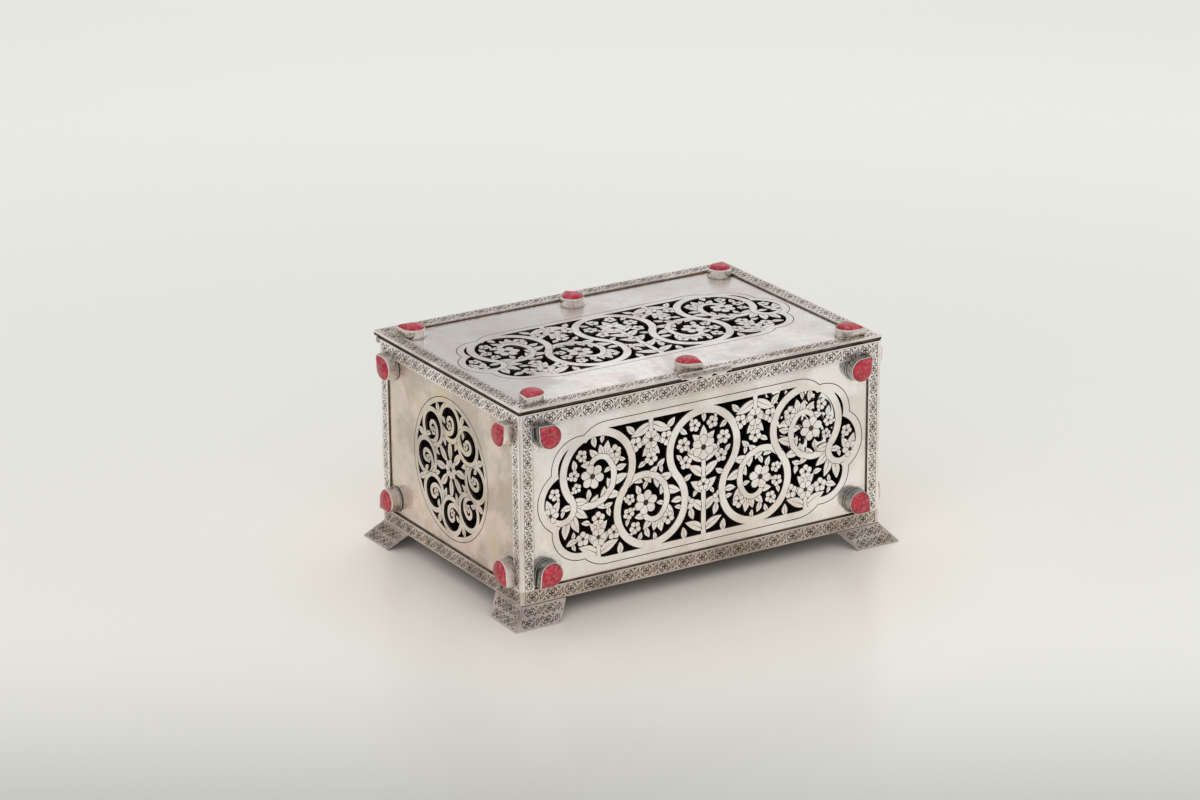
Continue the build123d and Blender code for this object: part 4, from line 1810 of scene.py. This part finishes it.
@dataclass
class Stones:
    """All the collets and stones."""

    finishes: Finishes
    radius: float = 5.35
    tip: float = 7.9
    blunt: float = 0.35
    gap: float = 0.05
    wall: float = 0.5
    seat: float = 0.5
    dome: float = 1.7
    dome_steps: int = 7
    wire: float = 0.34
    wire_height: float = 0.4
    wall_height: float = 5.6
    lid_height: float = 4.6
    border: float = 1.0
    front_inset: float = 14.0
    end_inset: float = 11.6
    top_inset: float = 11.4
    low_inset: float = 14.4
    lid_inset: float = 12.8
    crisp_collet: float = 40.0
    crisp_stone: float = 60.0

    def drop(self, radius: float) -> Loop:
        """A drop in the stones' proportions with its tip along X and slightly blunted.

        Args:
            radius: the radius of the drop's round end.

        Returns:
            The closed outline.
        """
        tip = radius * self.tip / self.radius
        half = math.degrees(math.acos(radius / tip))
        nose = arc((tip - self.blunt * tip / radius, 0), self.blunt, -half, 2 * half, 16)
        return nose + arc((0, 0), radius, half, 360 - 2 * half, 7.5)

    def collet(self, top: float) -> list[Point]:
        """Radius and height of a collet's drops, from the bottom outside to the top inside.

        Args:
            top: the collet's height.

        Returns:
            The radius and height of each drop.
        """
        inner = self.radius + self.gap
        outer = inner + self.wall
        return [
            (outer, 0.0),
            (outer - 0.06, top - 0.9),
            (outer - 0.12, top - 0.25),
            (outer - 0.26, top - 0.02),
            (inner + 0.12, top + 0.02),
            (inner, top - 0.1),
            (inner, top - self.seat),
        ]

    def stone(self, top: float) -> list[Point]:
        """Radius and height of a stone's drops, from its seat to its top.

        Args:
            top: the collet's height.

        Returns:
            The radius and height of each drop.
        """
        drops = [(self.radius - 0.02, top - self.seat + 0.02)]
        for k in range(self.dome_steps):
            swing = math.pi / 2 * k / (self.dome_steps - 0.3)
            height = top + self.dome * math.sin(swing) ** 0.85 + 0.05
            drops.append((self.radius * math.cos(swing) * 0.985, height))
        return drops

    def lofted(self, rings: list[Point], place: Matrix, metals: Sequence[Material], crisp: float) -> Object:
        """A closed form through drops of given size and height.

        Args:
            rings: radius and height of each drop.
            place: carries it to its place.
            metals: the finish of the first two rings' wall, and of the rest if it has its own.
            crisp: the angle, in degrees, above which an edge stays crisp.

        Returns:
            The object.
        """
        shape = bmesh.new()
        loops = []
        for radius, height in rings:
            loops.append([shape.verts.new(place @ Vector((x, y, height))) for x, y in self.drop(radius)])
        for step, (low, high) in enumerate(zip(loops, loops[1:])):
            for i in range(len(low)):
                j = (i + 1) % len(low)
                face = shape.faces.new((low[i], low[j], high[j], high[i]))
                face.material_index = min(step // 2, len(metals) - 1)
        shape.faces.new(reversed(loops[0]))
        shape.faces.new(loops[-1])
        bmesh.ops.recalc_face_normals(shape, faces=shape.faces)
        mesh = meshed("drop", shape, metals)
        mesh.shade_smooth()
        mesh.set_sharp_from_angle(angle=math.radians(crisp))
        return link("drop", mesh)

    def on_walls(self) -> list[Setting]:
        """The places of the stones on the front and on both ends.

        Returns:
            The settings, four on each sheet.
        """
        f = self.finishes
        front, size = face_of("front_panel", -NORTH)
        rise, fall = size.z / 2 - self.top_inset, size.z / 2 - self.low_inset
        length = size.x / 2 + self.border - self.front_inset
        depth = -front.y / MM + self.border - self.end_inset
        out: list[Setting] = []
        for node, outward, along, metal in (
            ("front_panel", -NORTH, length, f.dark_collet),
            ("right_end_panel", EAST, depth, f.stamped),
            ("left_end_panel", -EAST, depth, f.stamped),
        ):
            plane = plane_at(face_of(node, outward)[0], UP.cross(outward), outward)
            for side in (1, -1):
                for height in (rise, -fall):
                    tip = math.degrees(math.atan2(height, side * rise))
                    out.append(Setting(plane, Spot(side * along, height, tip), metal))
        return out

    def on_lid(self) -> list[Setting]:
        """The places of the stones on the lid, the middle ones a little aside and one turned.

        Returns:
            The settings, from right to left.
        """
        plane, size = lid_face()
        out: list[Setting] = []
        for side in (1, 0, -1):
            for back, inset, aside, turn in ((1, 15.8, 1.6, 0), (-1, 10.0, -3.4, 30)):
                x = side * (size.x / 2 - self.lid_inset) if side else aside
                tip = math.degrees(math.atan2(back, side)) + (0 if side else turn)
                spot = Spot(x, back * (size.y / 2 - inset), tip)
                out.append(Setting(plane, spot, self.finishes.collet))
        return out

    def build(self) -> None:
        """Makes the collets, the wires at the foot of those on the walls, and the stones."""
        f = self.finishes
        # The wires at the foot of the wall collets get the darker finish with painted shade and tarnish.
        tree = wire_tree(f.dark_collet)
        foot = self.drop(self.collet(0)[0][0] + self.wire * 0.6)
        path = [(x, y, self.wire_height) for x, y in foot]
        for body, prefix, top, gem, settings in (
            ("casket", "body", self.wall_height, f.stone, self.on_walls()),
            ("lid", "lid", self.lid_height, f.shaded_lid_stone, self.on_lid()),
        ):
            collets: list[Object] = []
            stones: list[Object] = []
            for setting in settings:
                place = setting.place()
                metals = (setting.metal, f.collet)
                collets.append(self.lofted(self.collet(top), place, metals, self.crisp_collet))
                stones.append(self.lofted(self.stone(top), place, (gem,), self.crisp_stone))
                if body == "casket":
                    collets.append(wire_along(path, self.wire, place, tree))
            settle(joined(f"{prefix}_collets_set", collets), body, [f"{prefix}_collets"])
            settle(joined(f"{prefix}_stones_set", stones), body, [f"{prefix}_stones"])


# Feet, tab, seams and hinge


@dataclass
class Feet:
    """The four flared feet with two rows of stamps on each outer face."""

    finishes: Finishes
    splay: float = 7.6
    reach: float = 24.0
    rows: tuple[float, ...] = (3.3, 8.4)
    stamps: int = 2
    stamp_height: float = 0.84
    margin: float = 0.7
    top_margin: float = 0.2
    rounding: float = 0.25
    skin: float = 0.16
    lift: float = 0.15

    @staticmethod
    def corners() -> dict[str, Vector]:
        """The feet's CAD nodes, with the direction of each foot's corner.

        Returns:
            Directions by node name.
        """
        sides = ((1, "right"), (-1, "left"))
        ends = ((1, "back"), (-1, "front"))
        return {f"{end}_{side}_foot": Vector((x, y, 0)) for x, side in sides for y, end in ends}

    def face(self, node: str, corner: Vector, outward: Vector) -> tuple[Sheet, Matrix]:
        """The stamped skin of one outer face.

        Args:
            node: the foot's CAD node.
            corner: the direction of the foot's corner.
            outward: the level direction that the face looks.

        Returns:
            The skin and its place.
        """
        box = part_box(node)
        height = box[1].z / MM
        slope = math.hypot(height, self.splay)
        across = UP.cross(outward)
        side = 1 if across.dot(corner) > 0 else -1
        end = max(abs(point.dot(across)) for point in box) / MM
        rim = max(abs(point.dot(outward)) for point in box)

        def at(share: float, rise: float) -> Point:
            """The point at a share of the foot's length and a height along its slope."""
            start = end - self.reach + share * self.reach
            return (side * (start - self.splay * rise / slope), rise)

        inset = self.margin / self.reach
        top = slope - self.top_margin
        outline = [at(inset, self.margin), at(1 - inset, self.margin), at(1 - inset, top), at(inset, top)]
        sheet = Sheet(self.reach, slope, self.skin, corners=outline, depth=self.skin * 0.7)
        stamp = BorderStamp()
        pitch = (1 - 5 * inset) / self.stamps
        stretch = (pitch * self.reach / stamp.width, self.stamp_height)
        for rise in self.rows:
            for i in range(self.stamps):
                stamp.press(sheet, Spot(*at(2.5 * inset + pitch * (i + 0.5), rise)), stretch)
        facing = (outward * height + UP * self.splay) / slope
        return sheet, plane_at(outward * rim + facing * self.lift * MM, across, facing)

    def build(self) -> None:
        """Makes the feet and their skins."""
        f = self.finishes
        skins = []
        for node, corner in self.corners().items():
            for outward in (EAST * corner.x, NORTH * corner.y):
                sheet, place = self.face(node, corner, outward)
                skins.append(sheet.solid("skin", place, (f.low_pressed, f.lines)))
        nodes = list(self.corners())
        feet = softened("corner_feet", nodes, f.low_stamped, self.rounding)
        settle(feet, "casket", nodes)
        settle(joined("corner_feet_stamps", skins), "casket", ())


@dataclass
class ThumbTab:
    """The bent tab on the lid's front edge."""

    finishes: Finishes
    stamps: int = 5
    stamp_size: Point = (0.98, 0.4)
    reach: float = 2.8
    droop: float = 2.2
    seat: float = 1.3
    margin: float = 0.5
    skin: float = 0.14
    skin_height: float = 2.3
    middle: float = -1.25
    rounding: float = 0.2
    lift: float = 0.13

    def build(self) -> None:
        """Makes the tab and its stamped skin."""
        f = self.finishes
        low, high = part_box("thumb_tab")
        bent = softened("thumb_tab_bent", ["thumb_tab"], f.collet, self.rounding)
        settle(bent, "lid", ["thumb_tab"])
        facing = Vector((0, -self.droop, self.reach)) / math.hypot(self.reach, self.droop)
        bend = Vector((0, high.y - self.seat * MM, high.z)) + facing * self.lift * MM
        width = (high.x - low.x) / MM - 2 * self.margin
        sheet = Sheet(width, self.skin_height, self.skin, (0, self.middle), depth=self.skin * 0.7)
        stamp = BorderStamp()
        pitch = width / self.stamps
        stretch = (pitch / stamp.width * self.stamp_size[0], self.stamp_size[1])
        for i in range(self.stamps):
            stamp.press(sheet, Spot(-width / 2 + pitch * (i + 0.5), self.middle), stretch)
        skin = sheet.solid("thumb_tab_stamps", plane_at(bend, EAST, facing), (f.lid_pressed, f.lines))
        settle(skin, "lid", ())


@dataclass
class Seams:
    """Thin lines of dark solder where the sheets meet their border strips and feet; the beads over the feet
    also paint the shade that the body's bottom edge casts there.
    """

    finishes: Finishes
    radius: float = 0.4
    low_radius: float = 0.6
    low_rise: float = 0.35
    low_height: float = 0.3
    foot_radius: float = 0.38
    tuck: float = 0.15
    lift: float = 0.1

    def loop(self, x: float, y: float) -> list[tuple[float, float, float]]:
        """A rectangle of solder about the origin, with its half width and half height."""
        return [(-x, -y, self.lift), (x, -y, self.lift), (x, y, self.lift), (-x, y, self.lift)]

    def build(self) -> None:
        """Lays the solder round every sheet and over every foot, where it also paints the shade cast by the
        body's edge.
        """
        tree = wire_tree(self.finishes.solder)
        strip_low, strip_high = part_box("front_bottom_strip")
        width = (strip_high.z - strip_low.z) / MM
        length, depth = strip_high.x / MM, -strip_low.y / MM
        runs: list[Object] = []
        for node, outward, half in (
            ("front_panel", -NORTH, length),
            ("back_panel", NORTH, length),
            ("right_end_panel", EAST, depth),
            ("left_end_panel", -EAST, depth),
        ):
            middle, size = face_of(node, outward)
            place = plane_at(middle, UP.cross(outward), outward)
            x, y = half - width, size.z / 2 - width
            runs.append(wire_along(self.loop(x, y), self.radius, place, tree))
            top, low = self.low_rise - y, self.low_rise - y - self.low_height
            bead = [(-x, top, 0), (x, top, 0), (x, low, 0), (-x, low, 0)]
            runs.append(wire_along(bead, self.low_radius, place, tree))
        # Beads over the feet: solder that also paints the shade which the body's bottom edge casts on each
        # foot.
        for node, corner in Feet.corners().items():
            low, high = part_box(node)
            size = (high - low) / MM
            x, y = length - self.tuck, depth - self.tuck
            x_end, y_end = x - size.x + Feet.splay, y - size.y + Feet.splay
            x_in, y_in = x - self.tuck, y - self.tuck
            bead = [(x_end, y), (x, y), (x, y_end), (x_in, y_end), (x_in, y_in), (x_end, y_in)]
            path = [(corner.x * px, corner.y * py, high.z / MM) for px, py in bead]
            runs.append(wire_along(path, self.foot_radius, Matrix.Scale(MM, 4), tree))
        settle(joined("casket_seams", runs), "casket", ())
        place, size = lid_face()
        lid = wire_along(self.loop(size.x / 2 - width, size.y / 2 - width), self.radius, place, tree)
        settle(joined("lid_seams", [lid]), "lid", ())


@dataclass
class Hinge:
    """The hinge, the back and the bottom, which keep their plain forms."""

    finishes: Finishes

    def build(self) -> None:
        """Gives the plain pieces their finishes."""
        for material, nodes in (
            (self.finishes.hinge, ("wall_knuckle_1", "wall_knuckle_3", "lid_knuckle_2", "hinge_pin")),
            (self.finishes.sheet, ("back_panel", "base_plate")),
        ):
            for node in nodes:
                mesh = bpy.data.objects[node].data
                mesh.materials.clear()
                mesh.materials.append(material)


# Studio


@dataclass(frozen=True)
class Studio:
    """Floor, lights and camera."""

    # Floor colours: painted shade towards the camera, a painted warm reflection of the silver round the
    # casket, the floor's own colour, and painted light far behind.
    floor_painted_shade: Colour = (0.262, 0.268, 0.254, 1)
    floor_painted_warm_reflection: Colour = (0.97, 0.925, 0.865, 1)
    floor_mid: Colour = (0.885, 0.890, 0.850, 1)
    floor_painted_light: Colour = (0.965, 0.97, 0.925, 1)
    floor_reach: float = 6.0
    floor_roughness: float = 0.24
    backdrop: Colour = (1.0, 0.985, 0.96, 1)
    backdrop_strength: float = 0.565
    lens: float = 121.316
    azimuth: float = -31.374
    elevation: float = 19.491
    roll: float = -0.426
    camera: tuple[float, float, float] = (-0.963653, -1.552794, 0.718131)

    def floor(self) -> None:
        """Makes the floor, with painted light in its colour: a painted warm reflection of the silver under
        the casket, painted shade towards the camera and painted light far behind.
        """
        paper, kit, shader, place = painted("floor_paper")
        turn = math.radians(self.azimuth)
        values = {0: place, 1: (-math.sin(turn), math.cos(turn), 0)}
        along = kit.node("ShaderNodeVectorMath", values, operation="DOT_PRODUCT").outputs["Value"]
        off = kit.node("ShaderNodeVectorMath", {0: place}, operation="LENGTH").outputs["Value"]
        # Painted shade towards the camera, then painted light far behind and a painted warm reflection
        # round the casket.
        near = kit.times(kit.ramp(along, -1.3, -0.75), kit.rest(kit.ramp(along, -0.52, -0.1)))
        colour = kit.mix(kit.ramp(off, 0.35, 0.9), self.floor_mid, self.floor_painted_light)
        colour = kit.mix(near, colour, self.floor_painted_shade)
        colour = kit.mix(kit.rest(kit.ramp(off, 0.1, 0.24)), colour, self.floor_painted_warm_reflection)
        kit.fill(shader, {"Base Color": colour, "Roughness": self.floor_roughness})
        mesh = bpy.data.meshes.new("floor")
        reach = self.floor_reach
        corners = [(-reach, -reach, 0), (reach, -reach, 0), (reach, reach, 0), (-reach, reach, 0)]
        mesh.from_pydata(corners, [], [(0, 1, 2, 3)])
        mesh.materials.append(paper)
        link("studio_floor", mesh)

    def lights(self) -> None:
        """Makes the lamps and the pale surroundings; only the card shows in the metal."""
        scene = bpy.context.scene
        scene.world = bpy.data.worlds.new("studio")
        scene.world.use_nodes = True
        backdrop = scene.world.node_tree.nodes["Background"].inputs
        backdrop["Color"].default_value = self.backdrop
        backdrop["Strength"].default_value = self.backdrop_strength
        for name, place, aim, size, height, power, colour in (
            ("key", (0.65, 1.2, 2.1), (0.5, 0.85, 0), 2.2, 2.2, 18, (0.97, 1.0, 0.985)),
            ("front", (-0.9, -1.5, 1.15), (0, 0, 0), 3.2, 2.2, 21, (1.0, 0.975, 0.94)),
            ("card", (0.905, 0.62, 0.63), (0.385, -0.234, 0.63), 1.0, 0.38, 0.52, (0.98, 1.0, 1.0)),
        ):
            lamp = bpy.data.lights.new(name, "AREA")
            lamp.shape = "RECTANGLE"
            lamp.size, lamp.size_y = size, height
            lamp.energy = power
            lamp.color = colour
            made = bpy.data.objects.new(name, lamp)
            made.location = place
            made.rotation_euler = (Vector(aim) - Vector(place)).to_track_quat("-Z", "Y").to_euler()
            made.visible_glossy = name == "card"
            scene.collection.objects.link(made)

    def shoot(self) -> None:
        """Makes the camera at the photograph's viewpoint."""
        scene = bpy.context.scene
        a, e, r = (math.radians(v) for v in (self.azimuth, self.elevation, self.roll))
        back = Vector((math.sin(a) * math.cos(e), -math.cos(a) * math.cos(e), math.sin(e)))
        right = (-back).cross(UP).normalized()
        up = right.cross(-back)
        across = math.cos(r) * right + math.sin(r) * up
        upward = -math.sin(r) * right + math.cos(r) * up
        lens = bpy.data.cameras.new("camera")
        lens.lens = self.lens
        lens.sensor_width = 36.0
        lens.clip_start, lens.clip_end = 0.05, 40.0
        made = bpy.data.objects.new("camera", lens)
        turn = Matrix((across, upward, back)).transposed().to_4x4()
        made.matrix_world = Matrix.Translation(self.camera) @ turn
        scene.collection.objects.link(made)
        scene.camera = made
        scene.view_settings.view_transform = "Standard"

    def build(self) -> None:
        """Sets up the whole studio."""
        self.floor()
        self.lights()
        self.shoot()


def main() -> None:
    """Builds the casket's looks in order."""
    logging.basicConfig(level=logging.INFO, format="%(name)s: %(message)s")
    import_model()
    finishes = Finishes.build()
    pieces = (Panels, Borders, Stones, Feet, ThumbTab, Seams, Hinge)
    for part in (*(piece(finishes) for piece in pieces), Studio()):
        LOG.info("building %s", type(part).__name__)
        part.build()


if __name__ == "__main__":
    main()
